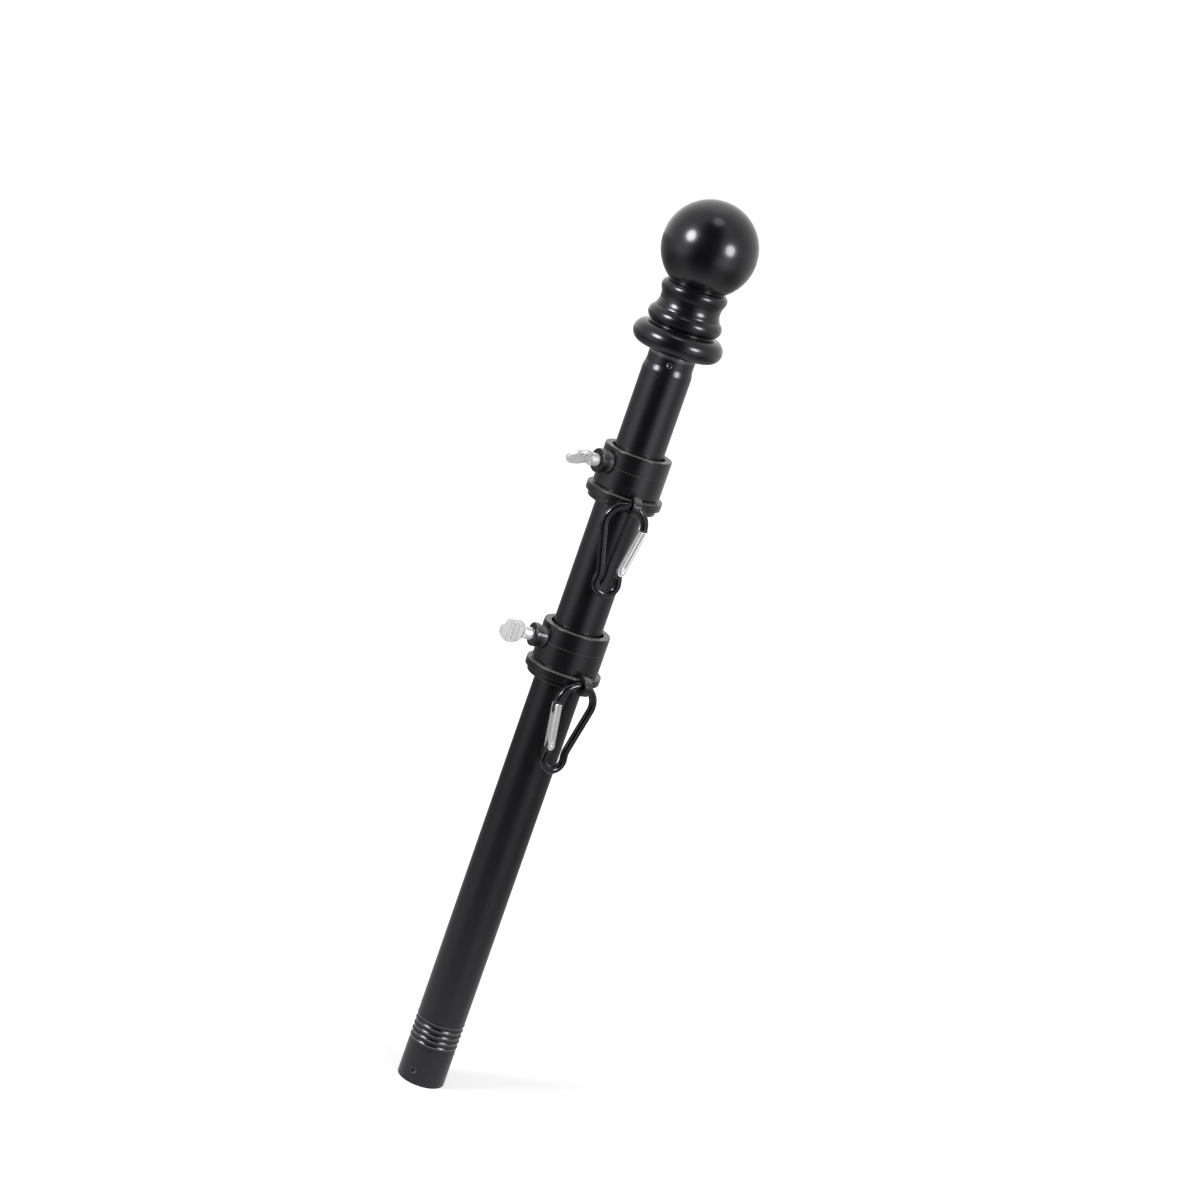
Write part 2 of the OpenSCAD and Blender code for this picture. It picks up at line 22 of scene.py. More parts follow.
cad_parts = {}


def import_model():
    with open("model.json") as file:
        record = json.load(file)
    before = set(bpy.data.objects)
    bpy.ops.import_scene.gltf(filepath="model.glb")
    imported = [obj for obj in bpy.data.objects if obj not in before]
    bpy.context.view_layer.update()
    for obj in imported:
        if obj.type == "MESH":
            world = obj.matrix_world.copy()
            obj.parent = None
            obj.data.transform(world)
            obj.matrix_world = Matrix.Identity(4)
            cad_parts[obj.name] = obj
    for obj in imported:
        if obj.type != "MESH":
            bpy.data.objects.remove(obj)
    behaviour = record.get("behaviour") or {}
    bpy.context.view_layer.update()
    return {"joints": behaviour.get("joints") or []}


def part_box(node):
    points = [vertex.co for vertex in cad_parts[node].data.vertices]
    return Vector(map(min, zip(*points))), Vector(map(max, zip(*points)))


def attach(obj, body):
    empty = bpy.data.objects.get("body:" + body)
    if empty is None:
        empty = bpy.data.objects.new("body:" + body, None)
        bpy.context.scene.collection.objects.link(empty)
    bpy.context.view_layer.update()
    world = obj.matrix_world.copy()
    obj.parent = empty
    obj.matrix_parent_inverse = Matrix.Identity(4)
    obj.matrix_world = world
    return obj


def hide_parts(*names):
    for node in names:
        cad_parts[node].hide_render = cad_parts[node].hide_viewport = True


LOG = logging.getLogger("flagpole")
MM = 0.001
TINY = 1e-6

# Points closer than this are merged, in metres, and a rim's curve turns by this step, in degrees.
MERGE_DISTANCE = 1e-7
RIM_STEP = 18

# Support points beside an outline's rounded corners, in millimetres or as shares of a length.
NEAR_LEAD = 0.1
NEAR_SHARE = 0.3
FAR_LEAD = 0.5
LONG_SIDE = 2.5
CUT_SHARE = 0.46

# The sockets of a Mix node that mixes colours.
MIX_FACTOR, MIX_A, MIX_B, MIX_RESULT = 0, 6, 7, 2
COLOUR, NUMBER, VECTOR = "NodeSocketColor", "NodeSocketFloat", "NodeSocketVector"

Pair = tuple[float, float]
Triple = tuple[float, float, float]
Corner = tuple[float, float, float]
Colour = tuple[float, float, float]
Relief = Callable[[float, float, float], Pair]

WHITE = (1, 1, 1, 1)


class Side(Enum):
    """The two clamps on the tube."""

    UPPER = "upper"
    LOWER = "lower"


class Body(Enum):
    """The moving bodies that each clamp brings, by the end of their names."""

    CLAMP = "clamp"
    SWIVEL = "swivel"
    HOOK = "snap_hook"
    GATE = "snap_gate"
    SCREW = "thumb_screw"

    def of(self, side: Side) -> str:
        """The body's full name on one side."""
        return f"{side.value}_{self.value}"


# ---------------------------------------------------------------- outlines


def smooth(share: float) -> float:
    """Eases a share from 0 to 1, and holds it outside that range."""
    share = min(1, max(0, share))
    return share * share * (3 - 2 * share)


def between(start: Pair, stop: Pair, shares: Iterable[float]) -> list[Pair]:
    """Points on a straight line, each at a share of its length."""
    along = (stop[0] - start[0], stop[1] - start[1])
    return [(start[0] + along[0] * t, start[1] + along[1] * t) for t in shares]


def spaced(start: float, stop: float, step: float) -> list[float]:
    """Evenly spaced values from start to stop.

    Args:
        start: First value.
        stop: Last value, which is included.
        step: Largest distance between two values.

    Returns:
        The values in order.
    """
    count = max(1, math.ceil(abs(stop - start) / step))
    return [start + (stop - start) * i / count for i in range(count + 1)]


def arc(centre: Pair, radius: float, start: float, stop: float, step: float = 6) -> list[Pair]:
    """Points along a circle's arc.

    Args:
        centre: The circle's centre.
        radius: The circle's radius.
        start: First direction in degrees, from the first axis.
        stop: Last direction in degrees.
        step: Largest turn between two points, in degrees.

    Returns:
        The points, both ends included.
    """
    turns = [math.radians(t) for t in spaced(start, stop, step)]
    return [(centre[0] + radius * math.cos(t), centre[1] + radius * math.sin(t)) for t in turns]


def rounded(corners: Sequence[Corner], closed: bool = True, step: float = 15) -> list[Pair]:
    """A polyline whose corners are rounded, with a point close to each end of every curve.

    A long side gets a second point a little farther off, so that the pale band on its rim, rubbed wear
    and a painted glint, ends there.

    Args:
        corners: Each corner's two coordinates and the radius that rounds it.
        closed: Whether the last corner joins the first.
        step: Largest turn between two points of a curve, in degrees.

    Returns:
        The points in order.
    """
    points: list[Pair] = []
    last = len(corners) - 1
    for i, (x, y, radius) in enumerate(corners):
        if radius <= 0 or (not closed and i in (0, last)):
            points.append((x, y))
            continue
        here = Vector((x, y))
        before = Vector(corners[i - 1][:2]) - here
        after = Vector(corners[(i + 1) % len(corners)][:2]) - here
        half = before.angle(after) / 2
        cut = min(radius / math.tan(half), CUT_SHARE * before.length, CUT_SHARE * after.length)
        radius = cut * math.tan(half)
        before_unit, after_unit = before.normalized(), after.normalized()
        centre = here + (before_unit + after_unit).normalized() * radius / math.sin(half)
        first = here + before_unit * cut - centre
        turn = math.degrees(math.pi - 2 * half)
        sign = 1 if first.cross(here + after_unit * cut - centre) > 0 else -1
        from_turn = math.degrees(math.atan2(first.y, first.x))
        lead = min(NEAR_LEAD, NEAR_SHARE * cut)
        into = [here + before_unit * (cut + lead)]
        out_of = [here + after_unit * (cut + lead)]
        if before.length > LONG_SIDE:
            into.insert(0, here + before_unit * (cut + FAR_LEAD))
        if after.length > LONG_SIDE:
            out_of.append(here + after_unit * (cut + FAR_LEAD))
        points += [(p.x, p.y) for p in into]
        points += arc((centre.x, centre.y), radius, from_turn, from_turn + sign * turn, step)
        points += [(p.x, p.y) for p in out_of]
    return points


def eased(points: Sequence[Pair], spacing: float, passes: int) -> list[Pair]:
    """A polyline cut into even steps and then softened, so that every crease turns into a fillet.

    Args:
        points: The polyline, whose two ends stay where they are.
        spacing: Length of the steps.
        passes: How many times it is softened.

    Returns:
        The softened points.
    """
    line = [Vector(p) for p in points]
    lengths = [0.0]
    for a, b in zip(line, line[1:]):
        lengths.append(lengths[-1] + (b - a).length)
    out: list[Vector] = []
    place = 0
    for s in spaced(0, lengths[-1], spacing):
        while place < len(line) - 2 and lengths[place + 1] < s:
            place += 1
        span = max(lengths[place + 1] - lengths[place], TINY)
        out.append(line[place].lerp(line[place + 1], min(1, (s - lengths[place]) / span)))
    for _ in range(passes):
        inner = [(out[i - 1] + 2 * out[i] + out[i + 1]) / 4 for i in range(1, len(out) - 1)]
        out = [out[0], *inner, out[-1]]
    return [(p.x, p.y) for p in out]


# ---------------------------------------------------------------- meshes


@dataclass
class Solid:
    """Points and faces of one piece while it is made, in millimetres."""

    points: list[Vector] = field(default_factory=list)
    faces: list[tuple[int, ...]] = field(default_factory=list)

    def add(self, other: Solid, place: Matrix | None = None) -> Solid:
        """Adds another solid to this one.

        Args:
            other: The solid to add.
            place: Where it goes, or None to leave it.

        Returns:
            This solid.
        """
        base = len(self.points)
        self.points += [place @ p if place else p.copy() for p in other.points]
        self.faces += [tuple(i + base for i in face) for face in other.faces]
        return self

    def ring(self, points: Iterable[Vector]) -> list[int]:
        """Adds a ring of points.

        Args:
            points: The points, in order round the ring.

        Returns:
            The number of each point.
        """
        first = len(self.points)
        self.points += points
        return list(range(first, len(self.points)))

    def skin(self, rings: Sequence[Sequence[int]], capped: bool = False) -> Solid:
        """Lays faces from each ring of points to the next.

        Args:
            rings: The rings, by their points' numbers. A ring may be a single point.
            capped: Whether the first and the last ring are closed with a face each.

        Returns:
            This solid.
        """
        for low, high in zip(rings, rings[1:]):
            sides = max(len(low), len(high))
            for k in range(sides):
                n = (k + 1) % sides
                face = (low[k % len(low)], low[n % len(low)], high[n % len(high)], high[k % len(high)])
                face = tuple(dict.fromkeys(face))
                if len(face) > 2:
                    self.faces.append(face)
        if capped:
            self.faces += [tuple(reversed(rings[0])), tuple(rings[-1])]
        return self

    def mirrored(self, hand: int) -> Solid:
        """This solid for one hand.

        Args:
            hand: 1 to leave it, or -1 to swap its X side.

        Returns:
            The solid.
        """
        if hand > 0:
            return self
        points = [Vector((-p.x, p.y, p.z)) for p in self.points]
        return Solid(points, [tuple(reversed(face)) for face in self.faces])

    def to_object(
        self, name: str, place: Matrix, crease: float = 40, own_axes: bool = False
    ) -> bpy.types.Object:
        """Makes the mesh object.

        Args:
            name: The object's name.
            place: Where it goes, in metres.
            crease: Edges that turn by more than this many degrees stay sharp.
            own_axes: Whether the object keeps its own axes, for a pattern drawn along them. Otherwise
                the place goes into the mesh, which keeps the object's box tight.

        Returns:
            The object, in the scene.
        """
        baked = Matrix.Identity(4) if own_axes else place
        mesh = bpy.data.meshes.new(name)
        mesh.from_pydata([baked @ (p * MM) for p in self.points], [], self.faces)
        work = bmesh.new()
        work.from_mesh(mesh)
        bmesh.ops.remove_doubles(work, verts=work.verts, dist=MERGE_DISTANCE)
        bmesh.ops.recalc_face_normals(work, faces=work.faces)
        for face in work.faces:
            face.smooth = True
        for edge in work.edges:
            if len(edge.link_faces) == 2:
                edge.smooth = edge.calc_face_angle() < math.radians(crease)
        work.to_mesh(mesh)
        work.free()
        made = bpy.data.objects.new(name, mesh)
        bpy.context.scene.collection.objects.link(made)
        if own_axes:
            made.matrix_world = place
        return made


def full_turn(sides: int) -> list[float]:
    """Directions of evenly spaced points round a circle, in radians."""
    return [2 * math.pi * k / sides for k in range(sides)]


def turned(
    profile: Sequence[Pair], sides: int, closed: bool = True, relief: Relief | None = None
) -> Solid:
    """A solid of revolution about Z. Direction 0 is -Y, and directions grow towards +X.

    Args:
        profile: Radius and height of each ring. A radius of 0 is a single point.
        sides: Number of points round a ring.
        closed: Whether the last ring joins the first.
        relief: Takes a point's radius, direction in radians and height, and gives the new radius and
            height.

    Returns:
        The solid.
    """
    solid = Solid()
    turns = full_turn(sides)
    rings: list[list[int]] = []
    for radius, height in profile:
        points: list[Vector] = []
        for turn in turns[:1] if radius < TINY else turns:
            r, z = relief(radius, turn, height) if relief else (radius, height)
            points.append(Vector((r * math.sin(turn), -r * math.cos(turn), z)))
        rings.append(solid.ring(points))
    return solid.skin([*rings, rings[0]] if closed else rings)


def drawn_wire(path: Sequence[Vector], radius: float, sides: int, dish: float) -> Solid:
    """A round wire along a path that lies in the XZ plane.

    Args:
        path: The centreline.
        radius: The wire's radius.
        sides: Number of points round the wire.
        dish: Depth and width of the shallow cone that is sunk into each end.

    Returns:
        The solid, closed at both ends.
    """
    ways = [(b - a).normalized() for a, b in zip(path, path[1:])]
    tangents = [ways[0], *[(a + b).normalized() for a, b in zip(ways, ways[1:])], ways[-1]]
    depths = [dish * (1 - math.sin(math.radians(t))) for t in spaced(0, 90, RIM_STEP)]
    stations = [(path[0] + tangents[0] * depth, tangents[0], radius - depth) for depth in depths]
    stations += [(centre, along, radius) for centre, along in list(zip(path, tangents))[1:-1]]
    stations += [(path[-1] - tangents[-1] * depth, tangents[-1], radius - depth)
                 for depth in reversed(depths)]
    solid = Solid()
    turns = full_turn(sides)
    rings: list[list[int]] = []
    for centre, along, size in stations:
        across = Vector((along.z, 0, -along.x))
        offsets = [across * math.cos(t) + Vector((0, 1, 0)) * math.sin(t) for t in turns]
        rings.append(solid.ring(centre + offset * size for offset in offsets))
    return solid.skin(rings, capped=True)


def plate(outline: Sequence[Pair], thickness: float, edge: float) -> Solid:
    """A flat plate about the XY plane, with rounded rims.

    Args:
        outline: The plate's outline, anticlockwise.
        thickness: Its thickness.
        edge: Radius that rounds its rims.

    Returns:
        The solid.
    """
    half = thickness / 2
    support = 1.6 * edge
    flat = [Vector(p) for p in outline]
    ways = [after - before for before, after in zip([flat[-1], *flat], [*flat[1:], flat[0]])]
    normals = [Vector((way.y, -way.x)).normalized() for way in ways]
    levels = [(support, -half)]
    for turn in (math.radians(t) for t in spaced(0, 90, RIM_STEP)):
        levels.append((edge * (1 - math.sin(turn)), -half + edge * (1 - math.cos(turn))))
    levels += [(inset, -height) for inset, height in reversed(levels)]
    solid = Solid()
    rings: list[list[int]] = []
    for inset, height in levels:
        rings.append(solid.ring(
            Vector((*(p - normal * inset), height)) for p, normal in zip(flat, normals)))
    return solid.skin(rings, capped=True)


# ---------------------------------------------------------------- finishes


class Graph:
    """Short forms for adding shader nodes to a tree and joining them."""

    def __init__(self, tree: bpy.types.NodeTree) -> None:
        """Works on one node tree."""
        self.tree = tree

    def fill(self, node: bpy.types.Node, sockets: dict) -> bpy.types.Node:
        """Sets or joins a node's inputs.

        Args:
            node: The node.
            sockets: Values or output sockets for its inputs, by name or number.

        Returns:
            The node.
        """
        for key, value in sockets.items():
            if isinstance(value, bpy.types.NodeSocket):
                self.tree.links.new(value, node.inputs[key])
            else:
                node.inputs[key].default_value = value
        return node

    def node(self, kind: str, sockets: dict | None = None, **settings: object) -> bpy.types.Node:
        """Adds a node.

        Args:
            kind: The node's type, without its "ShaderNode" start.
            sockets: Values or output sockets for its inputs, by name or number.
            **settings: Values for the node's own settings.

        Returns:
            The node.
        """
        made = self.tree.nodes.new("ShaderNode" + kind)
        for key, value in settings.items():
            setattr(made, key, value)
        return self.fill(made, sockets or {})

    def math(self, operation: str, a: object, b: object = 0.0, clamp: bool = False) -> object:
        """Adds a Math node on two values or sockets, and gives its output."""
        return self.node("Math", {0: a, 1: b}, operation=operation, use_clamp=clamp).outputs[0]

    def linear(self, value: object, slope: float, start: float) -> object:
        """Multiplies a value by a slope, adds a start, and gives the output."""
        return self.node("Math", {0: value, 1: slope, 2: start}, operation="MULTIPLY_ADD").outputs[0]

    def ramp(self, value: object, low: object, high: object, to: Pair = (0.0, 1.0)) -> object:
        """Maps a value smoothly from one range to another, and gives the output."""
        sockets = {"Value": value, "From Min": low, "From Max": high, "To Min": to[0], "To Max": to[1]}
        return self.node("MapRange", sockets, interpolation_type="SMOOTHSTEP").outputs["Result"]

    def noise(self, where: object, scale: object, detail: float = 3) -> object:
        """Adds a Noise Texture, and gives its factor."""
        sockets = {"Vector": where, "Scale": scale, "Detail": detail}
        return self.node("TexNoise", sockets).outputs["Fac"]

    def scaled(self, vector: object, factor: object) -> object:
        """Multiplies a vector or colour by one number, and gives the output."""
        node = self.node("VectorMath", {0: vector, "Scale": factor}, operation="SCALE")
        return node.outputs["Vector"]

    def mix(self, factor: object, a: object, b: object) -> object:
        """Mixes two colours, and gives the output."""
        sockets = {MIX_FACTOR: factor, MIX_A: a, MIX_B: b}
        return self.node("Mix", sockets, data_type="RGBA").outputs[MIX_RESULT]


class Effect(Enum):
    """Effects that several finishes use. Each is one node group."""

    TONE = "tone_and_grain"
    MARKS = "handling_marks"
    RIMS = "rubbed_rims"


@dataclass
class Effects:
    """Builds each effect's node group once and places it in materials."""

    noise_middle: float = 0.5
    grain_detail: float = 4
    scuff_lines: tuple[tuple[Triple, Triple], ...] = (
        ((0.5, 0.2, 0.3), (1.0, 1.0, 0.03)), ((0.1, 0.7, 0.2), (1.0, 0.04, 1.0)))
    scuff_scale: float = 2600
    scuff_detail: float = 2
    scuff_cut: Pair = (0.66, 0.74)
    handled_scale: float = 90
    handled_cut: Pair = (0.5, 0.68)
    dust_and_sheen_facing: Pair = (0.45, 0.95)
    dust_and_sheen_scale: float = 700
    dust_and_sheen_detail: float = 5
    dust_and_sheen_colour: Colour = (0.32, 0.31, 0.3)
    dust_dulls: float = 0.5
    rim_start: float = 0.4
    rim_share: float = 0.2
    break_scale: float = 420
    break_detail: float = 5
    break_cut: Pair = (0.38, 0.62)

    def __post_init__(self) -> None:
        """Makes the three groups."""
        self.groups = {
            Effect.TONE: self._tone(),
            Effect.MARKS: self._marks(),
            Effect.RIMS: self._rims(),
        }

    @staticmethod
    def _start(
        effect: Effect, inputs: dict[str, str], outputs: dict[str, str]
    ) -> tuple[Graph, bpy.types.bpy_prop_collection, bpy.types.Node]:
        """Starts a group with its sockets.

        Args:
            effect: Which effect it is.
            inputs: Type of each input, by name.
            outputs: Type of each output, by name.

        Returns:
            A graph on the group, the sockets that bring its inputs, and its output node.
        """
        tree = bpy.data.node_groups.new(effect.value, "ShaderNodeTree")
        for way, sockets in (("INPUT", inputs), ("OUTPUT", outputs)):
            for name, kind in sockets.items():
                tree.interface.new_socket(name=name, in_out=way, socket_type=kind)
        given = tree.nodes.new("NodeGroupInput").outputs
        return Graph(tree), given, tree.nodes.new("NodeGroupOutput")

    def _tone(self) -> bpy.types.NodeTree:
        """Makes the group for broad patches of tone, uneven gloss and a fine surface grain.

        Returns:
            The group.
        """
        graph, given, outside = self._start(
            Effect.TONE,
            {"Color": COLOUR, "Shade": NUMBER, "Roughness": NUMBER, "Spread": NUMBER,
             "Patch Scale": NUMBER, "Grain Scale": NUMBER, "Stretch": VECTOR},
            {"Color": COLOUR, "Roughness": NUMBER, "Height": NUMBER})
        where = graph.node("TexCoord").outputs["Object"]
        drawn = graph.node("VectorMath", {0: where, 1: given["Stretch"]}, operation="MULTIPLY")
        patches = graph.noise(where, given["Patch Scale"])
        grain = graph.noise(drawn.outputs["Vector"], given["Grain Scale"], self.grain_detail)
        broad = graph.math("SUBTRACT", patches, self.noise_middle)
        fine = graph.math("SUBTRACT", grain, self.noise_middle)
        fleck = graph.math("MULTIPLY", fine, given["Spread"])
        gloss = graph.math("MULTIPLY", broad, given["Spread"])
        uneven = graph.math("ADD", graph.math("ADD", fleck, gloss), given["Roughness"])
        shade = graph.math("MULTIPLY", broad, given["Shade"])
        tone = graph.scaled(given["Color"], graph.math("ADD", shade, 1.0))
        graph.fill(outside, {"Color": tone, "Roughness": uneven, "Height": grain})
        return graph.tree

    def _marks(self) -> bpy.types.NodeTree:
        """Makes the group for hairline scuffs, and dust on faces that look up. The dust is light on most
        finishes; where strong, as on the clamps, it is also a painted sheen on their top faces.

        Returns:
            The group.
        """
        graph, given, outside = self._start(
            Effect.MARKS,
            {"Color": COLOUR, "Roughness": NUMBER, "Scuffs": NUMBER, "Dust And Sheen": NUMBER},
            {"Color": COLOUR, "Roughness": NUMBER})
        where = graph.node("TexCoord").outputs["Object"]
        lines = []
        for turn, stretch in self.scuff_lines:
            mapping = graph.node("Mapping", {"Vector": where, "Rotation": turn, "Scale": stretch})
            streak = graph.noise(mapping.outputs["Vector"], self.scuff_scale, self.scuff_detail)
            lines.append(graph.ramp(streak, *self.scuff_cut))
        handled = graph.ramp(graph.noise(where, self.handled_scale), *self.handled_cut)
        hair = graph.math("MULTIPLY", graph.math("MAXIMUM", *lines), handled)
        hair = graph.math("MULTIPLY", hair, given["Scuffs"])
        # Faces that look up are painted paler: dust, and where the amount is strong, a painted sheen.
        up = graph.node("SeparateXYZ", {0: graph.node("NewGeometry").outputs["Normal"]}).outputs["Z"]
        cloud = graph.noise(where, self.dust_and_sheen_scale, self.dust_and_sheen_detail)
        upward_patches = graph.math("MULTIPLY", graph.ramp(up, *self.dust_and_sheen_facing), cloud)
        dust_and_sheen = graph.math("MULTIPLY", upward_patches, given["Dust And Sheen"])
        both = graph.math("ADD", hair, dust_and_sheen, clamp=True)
        tone = graph.mix(both, given["Color"], (*self.dust_and_sheen_colour, 1))
        dull = graph.math("ADD", given["Roughness"], graph.math("MULTIPLY", both, self.dust_dulls))
        graph.fill(outside, {"Color": tone, "Roughness": dull})
        return graph.tree

    def _rims(self) -> bpy.types.NodeTree:
        """Makes the group that paints sharp rims and crests paler and smoother: partly rubbed wear,
        partly a painted glint.

        Returns:
            The group.
        """
        graph, given, outside = self._start(
            Effect.RIMS,
            {"Color": COLOUR, "Bare And Glint Color": COLOUR, "Roughness": NUMBER, "Bare Roughness": NUMBER,
             "Amount": NUMBER, "Breakup": NUMBER, "Sharpest": NUMBER},
            {"Color": COLOUR, "Roughness": NUMBER})
        where = graph.node("TexCoord").outputs["Object"]
        # Sharp rims and crests are painted paler: rubbed wear, and also a painted glint along them.
        pointed = graph.node("NewGeometry").outputs["Pointiness"]
        flat = graph.linear(given["Sharpest"], self.rim_share, self.rim_start)
        sharp = graph.ramp(pointed, flat, given["Sharpest"])
        broken = graph.ramp(graph.noise(where, self.break_scale, self.break_detail), *self.break_cut)
        missing = graph.math("MULTIPLY", graph.math("SUBTRACT", 1.0, broken), given["Breakup"])
        kept = graph.math("MULTIPLY", sharp, graph.math("SUBTRACT", 1.0, missing))
        mask = graph.math("MULTIPLY", kept, given["Amount"])
        tone = graph.mix(mask, given["Color"], given["Bare And Glint Color"])
        change = graph.math("SUBTRACT", given["Bare Roughness"], given["Roughness"])
        gloss = graph.math("ADD", given["Roughness"], graph.math("MULTIPLY", change, mask))
        graph.fill(outside, {"Color": tone, "Roughness": gloss})
        return graph.tree

    def place(self, graph: Graph, effect: Effect, sockets: dict) -> bpy.types.Node:
        """Puts an effect in a material.

        Args:
            graph: The material's graph.
            effect: Which effect.
            sockets: Values or output sockets for its inputs.

        Returns:
            The group node.
        """
        node = graph.tree.nodes.new("ShaderNodeGroup")
        node.node_tree = self.groups[effect]
        return graph.fill(node, sockets)


@dataclass(frozen=True)
class Finish:
    """How one kind of surface looks."""

    name: str
    slot: str
    colour: Colour
    roughness: float
    shade: float = 0.25
    spread: float = 0.08
    patch_scale: float = 60
    grain_scale: float = 3000
    grain_depth: float = 0.004
    stretch: Triple = (1, 1, 1)
    metallic: float = 0
    specular: float = 0.68
    tint: Colour = (0.95, 0.93, 1.0)
    coat: float = 0
    coat_roughness: float = 0.1
    bare_and_glint_colour: Colour = (0.05, 0.05, 0.052)
    bare_roughness: float = 0.3
    rubbed_and_glint: float = 0.5
    breakup: float = 0.7
    sharpest: float = 0.6
    scuffs: float = 0.2
    dust_and_sheen: float = 0.04

    def material(self, effects: Effects) -> bpy.types.Material:
        """Makes the material.

        Args:
            effects: The shared node groups.

        Returns:
            The material.
        """
        made = bpy.data.materials.new(self.name)
        made.use_nodes = True
        graph = Graph(made.node_tree)
        made.node_tree.nodes.clear()
        tone = effects.place(graph, Effect.TONE, {
            "Color": (*self.colour, 1), "Shade": self.shade, "Roughness": self.roughness,
            "Spread": self.spread, "Patch Scale": self.patch_scale,
            "Grain Scale": self.grain_scale, "Stretch": self.stretch})
        rims = effects.place(graph, Effect.RIMS, {
            "Color": tone.outputs["Color"], "Bare And Glint Color": (*self.bare_and_glint_colour, 1),
            "Roughness": tone.outputs["Roughness"], "Bare Roughness": self.bare_roughness,
            "Amount": self.rubbed_and_glint, "Breakup": self.breakup, "Sharpest": self.sharpest})
        marks = effects.place(graph, Effect.MARKS, {
            "Color": rims.outputs["Color"], "Roughness": rims.outputs["Roughness"],
            "Scuffs": self.scuffs, "Dust And Sheen": self.dust_and_sheen})
        bump = graph.node("Bump", {
            "Strength": 1.0, "Distance": self.grain_depth * MM, "Height": tone.outputs["Height"]})
        skin = graph.node("BsdfPrincipled", {
            "Base Color": marks.outputs["Color"], "Roughness": marks.outputs["Roughness"],
            "Normal": bump.outputs["Normal"], "Metallic": self.metallic,
            "Specular IOR Level": self.specular, "Specular Tint": (*self.tint, 1),
            "Coat Weight": self.coat, "Coat Roughness": self.coat_roughness})
        graph.node("OutputMaterial", {"Surface": skin.outputs["BSDF"]})
        return made


# Pale colour for sharp rims and crests on black paint: rubbed paint, and a painted glint.
RUBBED_AND_GLINT_PAINT: Colour = (0.16, 0.16, 0.165)
BRIGHT_METAL: Colour = (0.97, 0.97, 0.97)
NO_TINT: Colour = (1, 1, 1)

# Its pale rims paint the ridge crests and rims as thin light lines: partly rubbed paint, partly a
# painted highlight.
TUBE_PAINT = Finish(
    "satin_black_tube", "tube_paint", (0.0038, 0.0038, 0.0043), 0.26, spread=0.05,
    patch_scale=45, grain_scale=1500, grain_depth=0.0008, rubbed_and_glint=0.9, breakup=0.3, sharpest=0.53,
    bare_and_glint_colour=RUBBED_AND_GLINT_PAINT, scuffs=0.06, dust_and_sheen=0.03)
FINIAL_GLOSS = Finish(
    "gloss_black_finial", "finial_gloss", (0.0035, 0.0035, 0.0042), 0.26, spread=0.03,
    patch_scale=35, grain_scale=900, grain_depth=0.0005, specular=0.46, coat=0.45,
    coat_roughness=0.13, rubbed_and_glint=0.1, scuffs=0.03, dust_and_sheen=0.01)
# Its strong dust paints the faces that look up paler, dust and a painted sheen, and its pale rims are
# partly a painted glint.
CLAMP_PLASTIC = Finish(
    "moulded_black_clamp", "clamp_plastic", (0.004, 0.004, 0.0046), 0.3, spread=0.06,
    patch_scale=120, grain_scale=2200, grain_depth=0.0012, rubbed_and_glint=0.9, breakup=0.5,
    scuffs=0.08, dust_and_sheen=0.8, specular=0.5, coat=0.35, bare_and_glint_colour=(0.12, 0.12, 0.124))
SLEEVE_PLASTIC = Finish(
    "matt_black_sleeve", "sleeve_plastic", (0.01, 0.01, 0.01), 0.55, spread=0.1,
    patch_scale=110, grain_scale=4200, grain_depth=0.008)
HOOK_BLACK = Finish(
    "gloss_black_hook", "hook_black", (0.0035, 0.0035, 0.004), 0.15, spread=0.04,
    patch_scale=160, grain_scale=2400, grain_depth=0.0008, rubbed_and_glint=0.6, scuffs=0.08, dust_and_sheen=0.02,
    bare_and_glint_colour=RUBBED_AND_GLINT_PAINT)
GATE_METAL = Finish(
    "bright_drawn_gate", "gate_metal", (0.94, 0.94, 0.95), 0.24, shade=0.08, spread=0.1,
    patch_scale=200, grain_scale=4200, grain_depth=0.0012, stretch=(1, 1, 0.05), metallic=0.8,
    bare_and_glint_colour=BRIGHT_METAL, bare_roughness=0.2, scuffs=0.08, dust_and_sheen=0, tint=NO_TINT)
SCREW_METAL = Finish(
    "bright_plated_screw", "screw_metal", (0.97, 0.97, 0.98), 0.28, shade=0.03, spread=0.05,
    patch_scale=220, grain_scale=2400, grain_depth=0.0005, metallic=0.6,
    bare_and_glint_colour=BRIGHT_METAL, bare_roughness=0.2, scuffs=0.08, dust_and_sheen=0, tint=NO_TINT)


# ---------------------------------------------------------------- the bench


class Bench:
    """Holds the materials and the joints, and hands over finished pieces."""

    def __init__(self, joints: Sequence[dict]) -> None:
        """Prepares the shared groups.

        Args:
            joints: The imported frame's joints.
        """
        self.effects = Effects()
        self.made: dict[str, bpy.types.Material] = {}
        self.joints = {joint["name"]: joint for joint in joints}

    def finish(self, piece: bpy.types.Object, finish: Finish) -> None:
        """Gives a piece its material, which is made once for each finish.

        Args:
            piece: The piece.
            finish: Its finish.
        """
        if finish.name not in self.made:
            self.made[finish.name] = finish.material(self.effects)
        piece.data.materials.clear()
        piece.data.materials.append(self.made[finish.name])

    def fit(self, piece: bpy.types.Object, body: str, node: str, finish: Finish) -> None:
        """Dresses a piece and hands it to its body in place of a construction node.

        Args:
            piece: The piece, in place.
            body: The body that it rides on.
            node: The construction node that it stands for.
            finish: Its finish.
        """
        self.finish(piece, finish)
        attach(piece, body)
        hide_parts(node)
        LOG.info("%s rides on %s: %d faces", piece.name, body, len(piece.data.polygons))

    def heights(self, node: str) -> Pair:
        """Lowest and highest level of a construction node, in millimetres."""
        low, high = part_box(node)
        return low.z / MM, high.z / MM

    def direction(self, vector: Sequence[float]) -> float:
        """The turn of a flat vector from the front, towards +X, in radians."""
        return math.atan2(vector[0], -vector[1])


